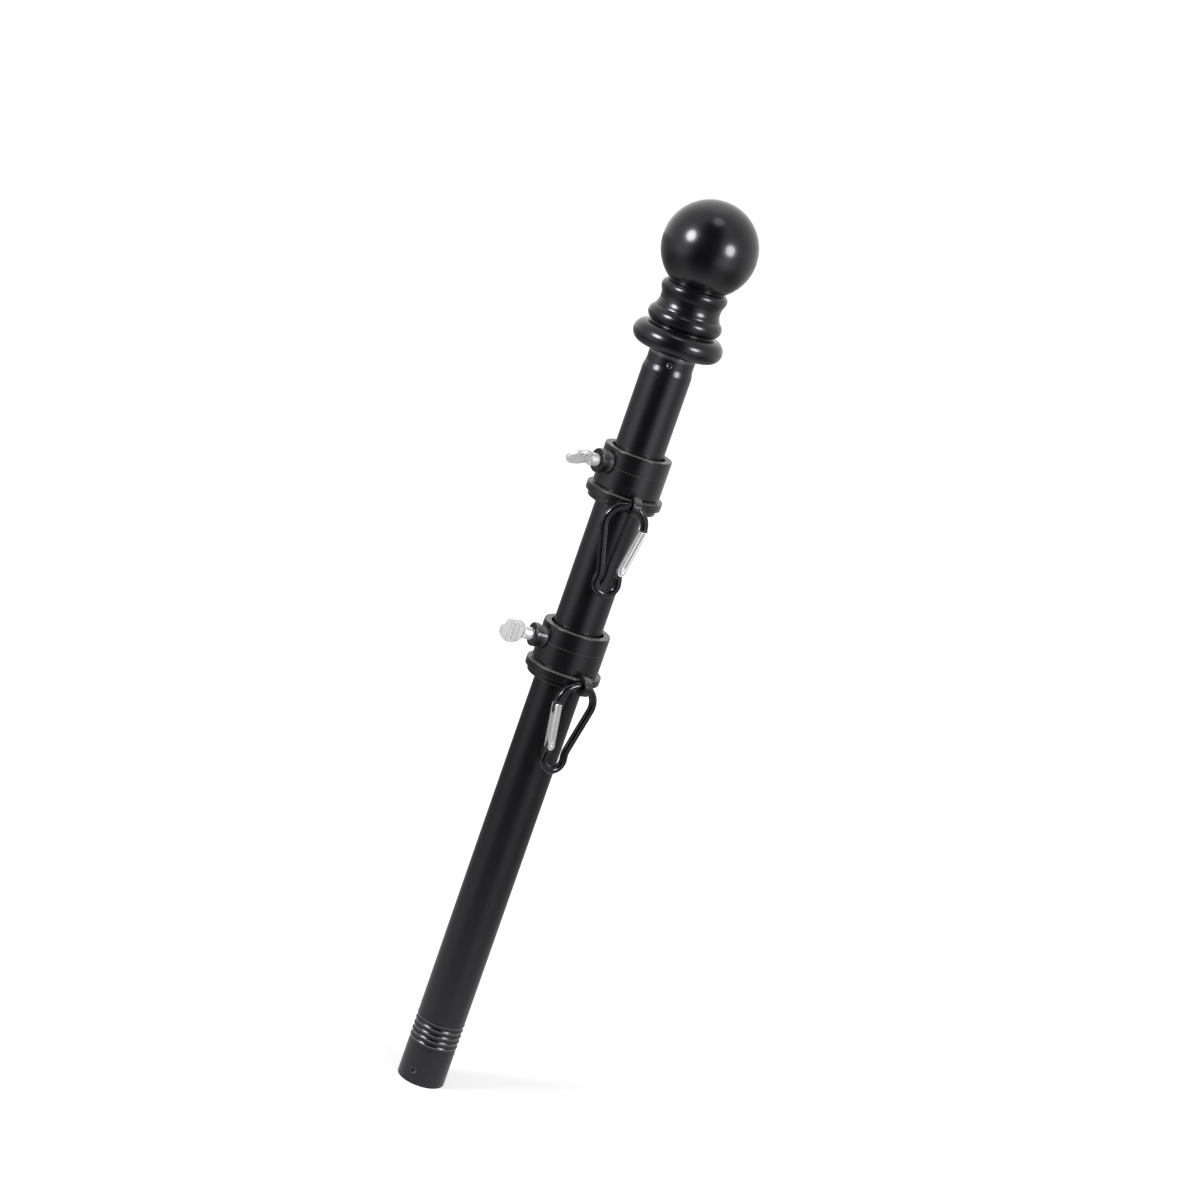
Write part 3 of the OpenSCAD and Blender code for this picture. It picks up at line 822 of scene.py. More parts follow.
def raised(height: float, turn: float = 0.0) -> Matrix:
    """A place at a height on the tube's axis, turned about it.

    Args:
        height: Height in millimetres.
        turn: Turn from the front, in radians.

    Returns:
        The matrix, in metres.
    """
    return Matrix.Translation((0, 0, height * MM)) @ Matrix.Rotation(turn, 4, "Z")


def moved(x: float, y: float, z: float) -> Matrix:
    """A shift by millimetres, in metres."""
    return Matrix.Translation((x * MM, y * MM, z * MM))


def tilted(degrees: float, axis: str) -> Matrix:
    """A turn in degrees about one of the axes."""
    return Matrix.Rotation(math.radians(degrees), 4, axis)


def with_flat_faces(piece: bpy.types.Object) -> bpy.types.Object:
    """Makes a piece's flat faces shade flat, and gives the piece back."""
    piece.modifiers.new("flat_faces", "WEIGHTED_NORMAL").keep_sharp = True
    return piece


# ---------------------------------------------------------------- sub-assemblies


@dataclass
class Tube:
    """The painted steel tube, with its rolled ridges, drawn-in neck and pressed dents."""

    radius: float = 12.7
    wall: float = 0.8
    neck_draw: float = 0.7
    neck_length: float = 6.5
    shoulder_length: float = 3.5
    shoulder_ease: float = 0.5
    ridge_height: float = 22.6
    ridge_pitch: float = 3.15
    ridge_count: int = 5
    ridge_rise: float = 0.15
    ridge_width: float = 0.5
    crest_round: float = 0.13
    groove_depth: float = 0.5
    run_out_place: float = 1.5
    run_out_width: float = 0.9
    run_out_depth: float = 0.16
    crimp_count: int = 4
    crimp_rise: float = 1.2
    lock_height: float = 7.4
    lock_turn: float = -23.7
    dent_depth: float = 0.65
    dent_steep: float = 1.75
    crimp_width: float = 1.4
    lock_width: float = 1.6
    rim: float = 0.22
    low_rim_turn: float = 75
    edge_break: float = 0.1
    plain_levels: tuple[float, ...] = (2.0, 4.0, 11.0, 16.0)
    plain_foot: float = 60
    lock_margin: float = 2
    crimp_margin: float = 2.2
    shoulder_lead: float = 1
    ridge_lead: float = 4.2
    ridge_trail: float = 1.05
    dent_step: float = 0.2
    ridge_step: float = 0.175
    shoulder_step: float = 0.3
    closest_rings: float = 0.04
    sides: int = 288
    sleeve_length: float = 42
    sleeve_end: float = 4
    sleeve_gap: float = 0.02
    sleeve_rounds: Pair = (0.3, 0.4)
    socket_radius: float = 9
    socket_rounds: Pair = (0.5, 0.6)
    sleeve_sides: int = 96

    def shoulder_foot(self, length: float) -> float:
        """Height at which a tube of one length starts to draw in."""
        return length - self.neck_length - self.shoulder_length - self.shoulder_ease

    def crimp_height(self, length: float) -> float:
        """Height of the crimp dents on a tube of one length."""
        return length - self.neck_length + self.crimp_rise

    def radius_at(self, height: float, length: float) -> float:
        """Outside radius of the tube at a height.

        Args:
            height: Height above the bottom end.
            length: The tube's length.

        Returns:
            The radius.
        """
        drawn = (height - self.shoulder_foot(length)) / (self.shoulder_length + self.shoulder_ease)
        radius = self.radius - self.neck_draw * smooth(drawn)
        last = self.ridge_count - 1
        place = (height - self.ridge_height) / self.ridge_pitch
        if 0 <= place <= last:
            off = 2 * abs(place - round(place))
            off = math.hypot(off, self.crest_round) - self.crest_round
            scoop = (self.ridge_rise + self.groove_depth) * (1 - (1 - off) ** 2)
            return radius + self.ridge_rise - scoop
        outside = min(abs(place), abs(place - last)) * self.ridge_pitch
        radius += self.ridge_rise * math.exp(-((outside / self.ridge_width) ** 2))
        below = (height - self.ridge_height + self.run_out_place) / self.run_out_width
        return radius - self.run_out_depth * math.exp(-(below**2))

    def pressed(self, length: float) -> Relief:
        """The relief that presses the dents into the outer face.

        Args:
            length: The tube's length.

        Returns:
            The relief.
        """
        crimp = self.crimp_height(length)
        dents = [(2 * math.pi * i / self.crimp_count, crimp, self.crimp_width)
                 for i in range(self.crimp_count)]
        dents.append((math.radians(self.lock_turn), self.lock_height, self.lock_width))

        def relief(radius: float, turn: float, height: float) -> Pair:
            """Moves one point.

            Args:
                radius: The point's radius.
                turn: Its direction, in radians.
                height: Its height.

            Returns:
                The new radius and height.
            """
            if radius < self.radius - self.neck_draw - self.wall / 2:
                return radius, height
            for direction, level, width in dents:
                gap = (turn - direction + math.pi) % (2 * math.pi) - math.pi
                across, up = gap * radius, height - level
                far = math.hypot(across, up) / width
                if far < 1:
                    low_right = (across - up) / max(math.sqrt(2) * far * width, TINY)
                    steep = self.dent_steep * max(0, low_right)
                    radius -= self.dent_depth * (1 - far * far) ** (2 - steep)
            return radius, height

        return relief

    def tube_solid(self, length: float) -> Solid:
        """Builds the tube.

        Args:
            length: The tube's length.

        Returns:
            The solid.
        """
        crimp = self.crimp_height(length)
        top_ridge = self.ridge_height + self.ridge_count * self.ridge_pitch
        levels = {self.rim, self.rim + FAR_LEAD, *self.plain_levels, self.plain_foot}
        levels |= {length / 3, 2 * length / 3, length - self.rim}
        stretches = (
            (self.lock_height - self.lock_margin, self.lock_height + self.lock_margin, self.dent_step),
            (self.ridge_height - self.ridge_lead, top_ridge - self.ridge_trail, self.ridge_step),
            (self.shoulder_foot(length) - self.shoulder_lead, crimp - self.crimp_margin,
             self.shoulder_step),
            (crimp - self.crimp_margin, crimp + self.crimp_margin, self.dent_step))
        for start, stop, step in stretches:
            levels |= set(spaced(start, stop, step))
        ordered = sorted(levels)
        kept = [a for a, b in zip(ordered, [*ordered[1:], length]) if b - a > self.closest_rings]
        outer = [(self.radius_at(z, length), z) for z in kept]
        bore, edge = self.radius - self.wall, self.edge_break
        neck_bore, neck_foot = bore - self.neck_draw, length - self.neck_length
        low_rim = arc((self.radius - self.rim, self.rim), self.rim, -90, self.low_rim_turn - 90, 15)
        profile = [(bore + edge, 0.0), *low_rim, *outer]
        profile += [(self.radius - self.neck_draw - edge, length), (neck_bore + edge, length)]
        profile += [(neck_bore, length - edge), (neck_bore, neck_foot)]
        profile += [(bore, neck_foot - self.shoulder_length), (bore, self.plain_foot), (bore, edge)]
        return turned(profile, self.sides, relief=self.pressed(length))

    def sleeve_solid(self) -> Solid:
        """Builds the moulded sleeve that stiffens the bottom end, with its blind socket.

        Returns:
            The solid.
        """
        outer, foot = self.radius - self.wall - self.sleeve_gap, self.sleeve_gap
        floor, (low_round, high_round) = self.sleeve_length - self.sleeve_end, self.sleeve_rounds
        mouth_round, floor_round = self.socket_rounds
        profile = rounded([
            (0, floor, 0), (self.socket_radius, floor, floor_round),
            (self.socket_radius, foot, mouth_round), (outer, foot, low_round),
            (outer, self.sleeve_length, high_round), (0, self.sleeve_length, 0)], closed=False)
        return turned(profile, self.sleeve_sides, closed=False)

    def build(self, bench: Bench) -> None:
        """Builds, dresses and hands over the tube and its sleeve.

        Args:
            bench: The bench.
        """
        length = bench.heights("pole_tube")[1]
        tube = self.tube_solid(length).to_object("painted_tube", raised(0))
        bench.fit(tube, "pole", "pole_tube", TUBE_PAINT)
        sleeve = self.sleeve_solid().to_object("socket_sleeve", raised(0))
        bench.fit(sleeve, "pole", "coupling_sleeve", SLEEVE_PLASTIC)


@dataclass
class Finial:
    """The turned neck with its flange and beads, and the ball on top."""

    ball_radius: float = 24.1
    seat_radius: float = 14.6
    seat_height: float = 34.6
    flange: Corner = (17.1, 6.0, 6.0)
    lower_bead: Corner = (14.6, 16.6, 4.4)
    upper_bead: Corner = (13.6, 31.0, 3.4)
    waist: Corner = (23.1, 25.1, 7.6)
    core_radius: float = 16.6
    plug_radius: float = 10.9
    plug_length: float = 12
    plug_chamfer: float = 0.6
    seat_inset: float = 1.2
    seat_lip: Pair = (0.3, 0.05)
    ball_arc: Pair = (0.6, 88)
    ball_step: float = 2
    spacing: float = 0.28
    easing: int = 3
    neck_crease: float = 60
    sides: int = 192

    def crossing(self, circle: Corner, radius: float) -> float:
        """Angle above the level at which a circle crosses a radius, in degrees.

        Args:
            circle: Its centre's two coordinates and its radius.
            radius: The radius that it crosses.

        Returns:
            The angle from the outward direction.
        """
        return math.degrees(math.acos(max(-1, min(1, (radius - circle[0]) / circle[2]))))

    def neck_solid(self) -> Solid:
        """Builds the turned neck from its flange to the seat of the ball.

        Returns:
            The solid.
        """
        over_flange = self.crossing(self.flange, self.core_radius)
        low = self.crossing(self.lower_bead, self.core_radius)
        high = self.crossing(self.upper_bead, self.core_radius)
        seat = self.crossing(self.upper_bead, self.seat_radius)
        waist = 180 - self.crossing(self.waist, self.core_radius)
        chamfer = self.plug_chamfer
        line: list[Pair] = [(0, -self.plug_length), (self.plug_radius - chamfer, -self.plug_length)]
        line += [(self.plug_radius, -self.plug_length + chamfer), (self.plug_radius, 0)]
        line += arc(self.flange[:2], self.flange[2], -90, over_flange)
        line += arc(self.lower_bead[:2], self.lower_bead[2], -low, low)
        line += arc(self.waist[:2], self.waist[2], 180 + waist, 180 - waist)
        line += arc(self.upper_bead[:2], self.upper_bead[2], -high, seat)
        line += [(self.seat_radius, self.seat_height)]
        shaped = eased(line, self.spacing, self.easing)
        return turned([*shaped, (0, self.seat_height)], self.sides, closed=False)

    def ball_solid(self) -> Solid:
        """Builds the ball about its seat's centre.

        Returns:
            The solid.
        """
        rise = math.sqrt(self.ball_radius**2 - self.seat_radius**2)
        seat = -math.degrees(math.asin(rise / self.ball_radius))
        inset, lip = self.seat_lip
        past_seat, stop = self.ball_arc
        line = [(0.0, 0.0), (self.seat_radius - self.seat_inset, 0.0), (self.seat_radius - inset, lip)]
        line += arc((0, rise), self.ball_radius, seat + past_seat, stop, self.ball_step)
        line.append((0.0, rise + self.ball_radius))
        return turned(line, self.sides, closed=False)

    def build(self, bench: Bench) -> None:
        """Builds, dresses and hands over the neck and the ball.

        Args:
            bench: The bench.
        """
        foot = bench.heights("pole_tube")[1]
        neck = self.neck_solid().to_object("finial_neck", raised(foot), crease=self.neck_crease)
        bench.fit(neck, "pole", "finial_turning", FINIAL_GLOSS)
        ball = self.ball_solid().to_object("finial_sphere", raised(foot + self.seat_height))
        bench.fit(ball, "pole", "finial_ball", FINIAL_GLOSS)


@dataclass
class Clamp:
    """A sliding collar with its screw boss and the flange that holds the ring."""

    bore: float = 13.8
    collar_radius: float = 17.45
    collar_top: float = 23.4
    collar_foot: float = 3.2
    hub_radius: float = 15.5
    hub_foot: float = -2.35
    seam_height: float = 14.4
    seam_depth: float = 0.12
    seam_width: float = 0.4
    seam_slope: float = 0.1
    hub_fillet: float = 0.2
    foot_round: float = 0.4
    top_round: float = 0.5
    mouth_round: float = 0.55
    flange_radius: float = 17.7
    flange_thickness: float = 2.65
    flange_bore_round: float = 0.5
    flange_low_round: float = 0.65
    flange_high_round: float = 0.4
    screw_height: float = 15
    screw_bore: float = 2.6
    boss_root: float = 15.7
    boss_radius: float = 5.4
    boss_step: float = 20.5
    boss_fillet: float = 0.35
    head_radius: float = 6.1
    head_face: float = 23.3
    head_back_round: float = 0.3
    head_round: float = 0.7
    recess_radii: Pair = (4.3, 3.9)
    recess_depth: float = 0.45
    recess_rounds: Pair = (0.25, 0.2)
    boss_sides: int = 96
    sides: int = 192

    def collar_solid(self) -> Solid:
        """Builds the collar with its hub, moulding line and eased rims.

        Returns:
            The solid.
        """
        low, high = self.seam_height - self.seam_width / 2, self.seam_height + self.seam_width / 2
        radius, groove = self.collar_radius, self.collar_radius - self.seam_depth
        profile = rounded([
            (self.bore, self.hub_foot, 0), (self.hub_radius, self.hub_foot, 0),
            (self.hub_radius, self.collar_foot, self.hub_fillet),
            (radius, self.collar_foot, self.foot_round), (radius, low - FAR_LEAD, 0), (radius, low, 0),
            (groove, low + self.seam_slope, 0), (groove, high - self.seam_slope, 0),
            (radius, high, 0), (radius, high + FAR_LEAD, 0),
            (radius, self.collar_top, self.top_round), (self.bore, self.collar_top, self.mouth_round)])
        return turned(profile, self.sides)

    def boss_solid(self) -> Solid:
        """Builds the boss about the screw's axis, with its stepped head.

        Returns:
            The solid.
        """
        floor = self.head_face - self.recess_depth
        rim_radius, floor_radius = self.recess_radii
        rim_round, floor_round = self.recess_rounds
        profile = rounded([
            (self.screw_bore, self.boss_root, 0), (self.boss_radius, self.boss_root, 0),
            (self.boss_radius, self.boss_step, self.boss_fillet),
            (self.head_radius, self.boss_step, self.head_back_round),
            (self.head_radius, self.head_face, self.head_round),
            (rim_radius, self.head_face, rim_round), (floor_radius, floor, floor_round),
            (self.screw_bore, floor, floor_round)])
        return turned(profile, self.boss_sides)

    def flange_solid(self) -> Solid:
        """Builds the flange under the ring.

        Returns:
            The solid.
        """
        foot = self.hub_foot - self.flange_thickness
        profile = rounded([
            (self.bore, foot, self.flange_bore_round), (self.flange_radius, foot, self.flange_low_round),
            (self.flange_radius, self.hub_foot, self.flange_high_round), (self.bore, self.hub_foot, 0)])
        return turned(profile, self.sides)

    def build(self, bench: Bench, side: Side, height: float, turn: float) -> None:
        """Builds, dresses and hands over the three pieces.

        Args:
            bench: The bench.
            side: Which clamp.
            height: Height of the ring's middle.
            turn: Direction of the screw, in radians from the front.
        """
        body, name = Body.CLAMP.of(side), side.value
        collar = self.collar_solid().to_object(f"{name}_collar_shell", raised(height, turn))
        bench.fit(collar, body, f"{name}_collar", CLAMP_PLASTIC)
        outward = raised(height + self.screw_height, turn) @ tilted(90, "X")
        boss = self.boss_solid().to_object(f"{name}_screw_boss", outward)
        bench.fit(boss, body, f"{name}_boss", CLAMP_PLASTIC)
        flange = self.flange_solid().to_object(f"{name}_ring_flange", raised(height))
        bench.fit(flange, body, f"{name}_retainer", CLAMP_PLASTIC)


@dataclass
class Swivel:
    """The ring that spins under a collar, with the eye that the hook hangs in."""

    bore: float = 15.9
    radius: float = 19.65
    half: float = 2.05
    rim: float = 0.45
    bore_round: float = 0.25
    eye_reach: float = 22.55
    eye_hole: float = 2.9
    eye_radius: float = 5.0
    eye_thickness: float = 4.0
    eye_overlap: float = 0.12
    eye_rounds: Pair = (0.4, 0.55)
    eye_thinnest: float = 0.05
    eye_sides: int = 96
    sides: int = 192

    def ring_solid(self) -> Solid:
        """Builds the ring.

        Returns:
            The solid.
        """
        profile = rounded([
            (self.bore, -self.half, self.bore_round), (self.radius, -self.half, self.rim),
            (self.radius, self.half, self.rim), (self.bore, self.half, self.bore_round)])
        return turned(profile, self.sides)

    def eye_solid(self) -> Solid:
        """Builds the eye about its hole, with the flat side that meets the ring.

        Returns:
            The solid.
        """
        half = self.eye_thickness / 2
        reach = self.eye_reach - self.radius + self.eye_overlap
        hole_round, rim_round = self.eye_rounds
        profile = rounded([
            (self.eye_hole, -half, hole_round), (self.eye_radius, -half, rim_round),
            (self.eye_radius, half, rim_round), (self.eye_hole, half, hole_round)])

        def relief(radius: float, turn: float, height: float) -> Pair:
            """Flattens the side towards the ring. The eye is turned so that this side is its +Y.

            Args:
                radius: A point's radius.
                turn: Its direction, in radians.
                height: Its height.

            Returns:
                The new radius and height.
            """
            inward = -math.cos(turn)
            if inward > 0 and reach / inward < self.eye_radius:
                share = (radius - self.eye_hole) / (self.eye_radius - self.eye_hole)
                width = max(reach / inward - self.eye_hole, self.eye_thinnest)
                radius = self.eye_hole + share * width
            return radius, height

        return turned(profile, self.eye_sides, relief=relief)

    def build(self, bench: Bench, side: Side, height: float, turn: float) -> None:
        """Builds, dresses and hands over the ring and its eye.

        Args:
            bench: The bench.
            side: Which clamp.
            height: Height of the ring's middle.
            turn: Direction of the eye, in radians from the front.
        """
        body, name = Body.SWIVEL.of(side), side.value
        ring = self.ring_solid().to_object(f"{name}_spin_ring", raised(height))
        bench.fit(ring, body, f"{name}_ring", CLAMP_PLASTIC)
        place = raised(height, turn) @ moved(0, -self.eye_reach, 0) @ tilted(90, "Y")
        eye = self.eye_solid().to_object(f"{name}_ring_eye", place)
        bench.fit(eye, body, f"{name}_lug", CLAMP_PLASTIC)


@dataclass
class ThumbScrew:
    """The plated clamping screw with its plain shoulder and ribbed thumb grip."""

    shank_radius: float = 2.5
    tip: float = 13.0
    thread_pitch: float = 0.8
    thread_depth: float = 0.38
    shoulder_radius: float = 3.3
    shoulder_start: float = 23.6
    shoulder_end: float = 28.2
    grip_centre: float = 34.1
    grip_radius: float = 6.8
    grip_thickness: float = 2.2
    rib_pitch: float = 2.6
    rib_width: float = 0.7
    rib_rise: float = 0.35
    tip_profile: tuple[Pair, ...] = ((0, 0), (1.7, 0), (2.1, 0.35))
    thread_leads: Pair = (0.5, 0.3)
    thread_step: float = 0.1
    thread_match: float = 0.01
    shoulder_chamfer: float = 0.3
    shoulder_rounds: Pair = (0.35, 0.5)
    grip_arc: Pair = (-52, 232)
    grip_step: float = 5
    grip_edge: float = 0.55
    root_inset: Pair = (0.15, 0.7)
    root_rise: float = 1.1
    root_step: float = 0.2
    rib_reach: float = 0.7
    rib_round: float = 0.9
    rib_edge: float = 0.2
    rib_turn: float = 20
    sides: int = 64
    grip_turns: dict[Side, float] = field(
        default_factory=lambda: {Side.UPPER: 48.0, Side.LOWER: 4.0})

    def screw_solid(self) -> Solid:
        """Builds the threaded shank and the shoulder about the screw's axis.

        Returns:
            The solid.
        """
        lead, trail = self.thread_leads
        low_round, high_round = self.shoulder_rounds
        line: list[Pair] = [(r, self.tip + z) for r, z in self.tip_profile]
        thread = spaced(self.tip + lead, self.shoulder_start - trail, self.thread_step)
        line += [(self.shank_radius, z) for z in thread]
        line += rounded([
            (self.shank_radius - self.shoulder_chamfer, self.shoulder_start, 0),
            (self.shoulder_radius, self.shoulder_start, low_round),
            (self.shoulder_radius, self.shoulder_end, high_round), (0, self.shoulder_end, 0)],
            closed=False)

        def relief(radius: float, turn: float, height: float) -> Pair:
            """Cuts the thread in the shank.

            Args:
                radius: A point's radius.
                turn: Its direction, in radians.
                height: Its height.

            Returns:
                The new radius and height.
            """
            on_shank = abs(radius - self.shank_radius) < self.thread_match
            if on_shank and self.tip < height < self.shoulder_start:
                phase = (height / self.thread_pitch - turn / (2 * math.pi)) % 1
                radius -= self.thread_depth * (1 - abs(2 * phase - 1))
            return radius, height

        return turned(line, self.sides, closed=False, relief=relief)

    def grip_outline(self) -> list[Pair]:
        """Draws the grip: a disc whose foot flows into the shoulder.

        Returns:
            The outline, anticlockwise.
        """
        disc = arc((0, self.grip_centre), self.grip_radius, *self.grip_arc, self.grip_step)
        inset, sink = self.root_inset
        foot = (self.shoulder_radius - inset, self.shoulder_end - sink)
        pull = (foot[0] + inset, foot[1] + self.root_rise)
        flow: list[Pair] = []
        for t in spaced(0, 1, self.root_step)[:-1]:
            early, middle, late = (1 - t) ** 2, 2 * t * (1 - t), t * t
            flow.append(tuple(early * a + middle * b + late * c for a, b, c in zip(foot, pull, disc[0])))
        return [*flow, *disc, *((-x, y) for x, y in reversed(flow))]

    def grip_solid(self) -> Solid:
        """Builds the grip and its ribs, which stand out on both faces.

        Returns:
            The solid.
        """
        solid = plate(self.grip_outline(), self.grip_thickness, self.grip_edge)
        half, reach = self.rib_width / 2, self.grip_radius * self.rib_reach
        turn = half * self.rib_round
        outline = rounded([
            (-reach, -half, turn), (reach, -half, turn), (reach, half, turn), (-reach, half, turn)],
            step=self.rib_turn)
        rib = plate(outline, self.grip_thickness + 2 * self.rib_rise, self.rib_edge)
        for i in (-1, 0, 1):
            solid.add(rib, Matrix.Translation((0, self.grip_centre + i * self.rib_pitch, 0)))
        return solid

    def build(self, bench: Bench, side: Side, height: float, turn: float) -> None:
        """Builds, dresses and hands over the screw and its grip.

        Args:
            bench: The bench.
            side: Which clamp.
            height: Height of the screw's axis.
            turn: Direction of the screw, in radians from the front.
        """
        body, name = Body.SCREW.of(side), side.value
        outward = raised(height, turn)
        screw = self.screw_solid().to_object(f"{name}_threaded_screw", outward @ tilted(90, "X"))
        bench.fit(screw, body, f"{name}_screw", SCREW_METAL)
        upright = tilted(self.grip_turns[side], "Y") @ tilted(90, "X") @ tilted(90, "Z")
        grip = self.grip_solid().to_object(f"{name}_thumb_grip", outward @ upright @ tilted(90, "X"))
        bench.fit(with_flat_faces(grip), body, f"{name}_grip", SCREW_METAL)


@dataclass
class SnapHook:
    """A bent wire hook with a sprung sheet-metal gate on a riveted pin."""

    wire_radius: float = 2.0
    wide_radius: float = 10.25
    narrow_radius: float = 5.65
    end_spacing: float = 30.6
    waist_rise: float = 4.75
    waist_draw_in: float = 0.75
    bend_radius: float = 10
    nose_angle: float = 3
    pin_rise: float = 2.25
    gate_half: float = 2.1
    gate_wall: float = 0.7
    gate_gap: float = 0.45
    gate_crown: float = 0.22
    crease_place: float = 0.1
    crease_depth: float = 0.3
    crease_width: float = 0.36
    crease_start: Pair = (2.0, 3.6)
    ear_radius: float = 1.9
    ear_gap: float = 0.6
    tang_half: float = 1.1
    tongue_length: float = 5.5
    tongue_back: float = -0.6
    tongue_front: float = 1.8
    pin_radius: float = 0.6
    rivet_radius: float = 1.1
    rivet_gap: float = 0.1
    rivet_head: float = 0.3
    rivet_rim: float = 0.1
    rivet_dome: tuple[Pair, ...] = ((0.85, 0.08), (0.5, 0.01), (0, 0))
    pin_sides: int = 40
    wire_sides: int = 32
    wire_step: float = 4
    narrow_step: float = 5
    spine_shares: tuple[float, ...] = (0.02, 0.25, 0.5, 0.75, 0.98)
    stem_shares: tuple[float, ...] = (0.1, 0.5, 0.9, 1.0)
    closest: float = 0.05
    end_dish: float = 0.3
    tang_edge: float = 0.12
    tang_root: float = 1
    tongue_round: float = 0.5
    lip_round: float = 0.22
    inner_round: float = 0.25
    outer_round: float = 0.85
    sheet_turn: float = 12
    section_step: float = 0.12
    gate_rim: tuple[Pair, ...] = ((0.0, 0.12), (0.006, 0.03), (0.012, 0.0))
    gate_levels: tuple[float, ...] = (0.05, 0.08, 0.1, 0.12, 0.14, 0.17, 0.35, 0.6, 0.8)
    sheet_match: float = 0.01
    ear_rise: float = 0.5
    ear_step: float = 0.2
    ear_turn: float = 9
    ear_edge: float = 0.14
    ear_sink: float = 0.01
    pressed_skin: float = 0.3
    crown_shift: float = 0.1
    gate_crease: float = 50
    reach: float = 22.55
    offsets: dict[Side, float] = field(
        default_factory=lambda: {Side.UPPER: -2.0, Side.LOWER: -1.65})
    leans: dict[Side, float] = field(default_factory=lambda: {Side.UPPER: 2.2, Side.LOWER: -2.3})
    hands: dict[Side, int] = field(default_factory=lambda: {Side.UPPER: 1, Side.LOWER: -1})

    def __post_init__(self) -> None:
        """Works out the slopes of the two sides from the waist's corner, and the gate's ends."""
        self.corner_x = self.narrow_radius - self.waist_draw_in
        self.corner_z = self.waist_rise - self.end_spacing
        far = math.hypot(self.corner_x, self.corner_z)
        near = math.hypot(self.corner_x, self.waist_rise)
        self.side_slope = math.asin(self.wide_radius / far) - math.atan(-self.corner_x / self.corner_z)
        self.waist_slope = math.asin(self.narrow_radius / near) - math.atan(
            self.corner_x / self.waist_rise)
        self.pin_x = self.corner_x + math.tan(self.side_slope) * self.pin_rise
        self.pin_z = self.corner_z + self.pin_rise
        top = -self.wide_radius * math.sin(math.radians(self.nose_angle)) - self.gate_gap
        self.gate_top = (top - self.pin_z) / math.cos(self.side_slope)
        self.gate_slope = math.tan(self.side_slope - math.radians(self.nose_angle))

    def centreline(self) -> list[Vector]:
        """Draws the wire, from the nose round the spine to the stem under the gate.

        Returns:
            The points of its centreline.
        """
        side, waist = math.degrees(self.side_slope), math.degrees(self.waist_slope)
        line = arc((0, 0), self.wide_radius, -self.nose_angle, 180 + side, self.wire_step)
        reach = self.bend_radius * math.tan((self.side_slope + self.waist_slope) / 2)
        top = (-self.corner_x - reach * math.sin(self.side_slope),
               self.corner_z + reach * math.cos(self.side_slope))
        centre = (top[0] - self.bend_radius * math.cos(self.side_slope),
                  top[1] - self.bend_radius * math.sin(self.side_slope))
        line += between(line[-1], top, self.spine_shares)
        line += arc(centre, self.bend_radius, side, -waist, self.wire_step)
        line += arc(
            (0, -self.end_spacing), self.narrow_radius, 180 - waist, 360 + waist, self.narrow_step)
        x, z = line[-1]
        stem_top = self.pin_z - self.ear_radius - self.ear_gap
        stem = (x - math.tan(self.waist_slope) * (stem_top - z), stem_top)
        line += between((x, z), stem, self.stem_shares)
        kept = [line[0]]
        for p in line[1:]:
            if math.dist(p, kept[-1]) > self.closest:
                kept.append(p)
        return [Vector((x, 0, z)) for x, z in kept]

    def at_gate(self) -> Matrix:
        """The gate's frame inside the hook's, in millimetres: pin at the origin, length along +Z."""
        return Matrix.Translation((self.pin_x, 0, self.pin_z)) @ Matrix.Rotation(
            self.side_slope, 4, "Y")

    def wire_solid(self) -> Solid:
        """Builds the wire with its flat tang for the pin and its tongue inside the gate.

        Returns:
            The solid.
        """
        solid = drawn_wire(self.centreline(), self.wire_radius, self.wire_sides, self.end_dish)
        upright = self.at_gate() @ tilted(90, "X")
        half = self.tang_half
        foot = -(self.ear_radius + self.ear_gap + self.tang_root)
        tang = [*arc((0, 0), half, 0, 180, 12), (-half, foot), (half, foot)]
        solid.add(plate(tang, 2 * half, self.tang_edge), upright)
        root = self.gate_top + self.gate_gap
        end, top, turn = root - self.tongue_length, root + self.tang_root, self.tongue_round
        tongue = rounded([
            (self.tongue_back, end, turn), (self.tongue_front, end, turn),
            (self.tongue_front, top, 0), (self.tongue_back, top, 0)])
        return solid.add(plate(tongue, 2 * half, self.tang_edge), upright)

    def channel(self) -> Solid:
        """Builds the gate's channel, bent from sheet, with its ends eased.

        Returns:
            The solid.
        """
        half, wall, lip = self.gate_half, self.gate_wall, self.ear_radius
        inner, middle = half - wall, half - wall / 2
        corners = rounded([
            (lip, -half, self.lip_round), (lip, -inner, self.lip_round),
            (-inner, -inner, self.inner_round), (-inner, inner, self.inner_round),
            (lip, inner, self.lip_round), (lip, half, self.lip_round),
            (-half, half, self.outer_round), (-half, -half, self.outer_round)], step=self.sheet_turn)
        section: list[Pair] = []
        for start, stop in zip(corners, [*corners[1:], corners[0]]):
            pieces = max(1, round(math.dist(start, stop) / self.section_step))
            section += between(start, stop, (i / pieces for i in range(pieces)))
        levels = [*self.gate_rim, *((share, 0.0) for share in self.gate_levels)]
        levels += [(1 - share, inset) for share, inset in reversed(self.gate_rim)]
        solid = Solid()
        rings: list[list[int]] = []
        for share, inset in levels:
            points: list[Vector] = []
            for x, y in section:
                on_flank = abs(y) > inner - self.sheet_match
                core = (x, math.copysign(middle, y)) if on_flank else (-middle, y)
                px, py = between((x, y), core, [2 * inset / wall])[0]
                points.append(Vector((px, py, share * (self.gate_top + x * self.gate_slope))))
            rings.append(solid.ring(points))
        return solid.skin(rings, capped=True)

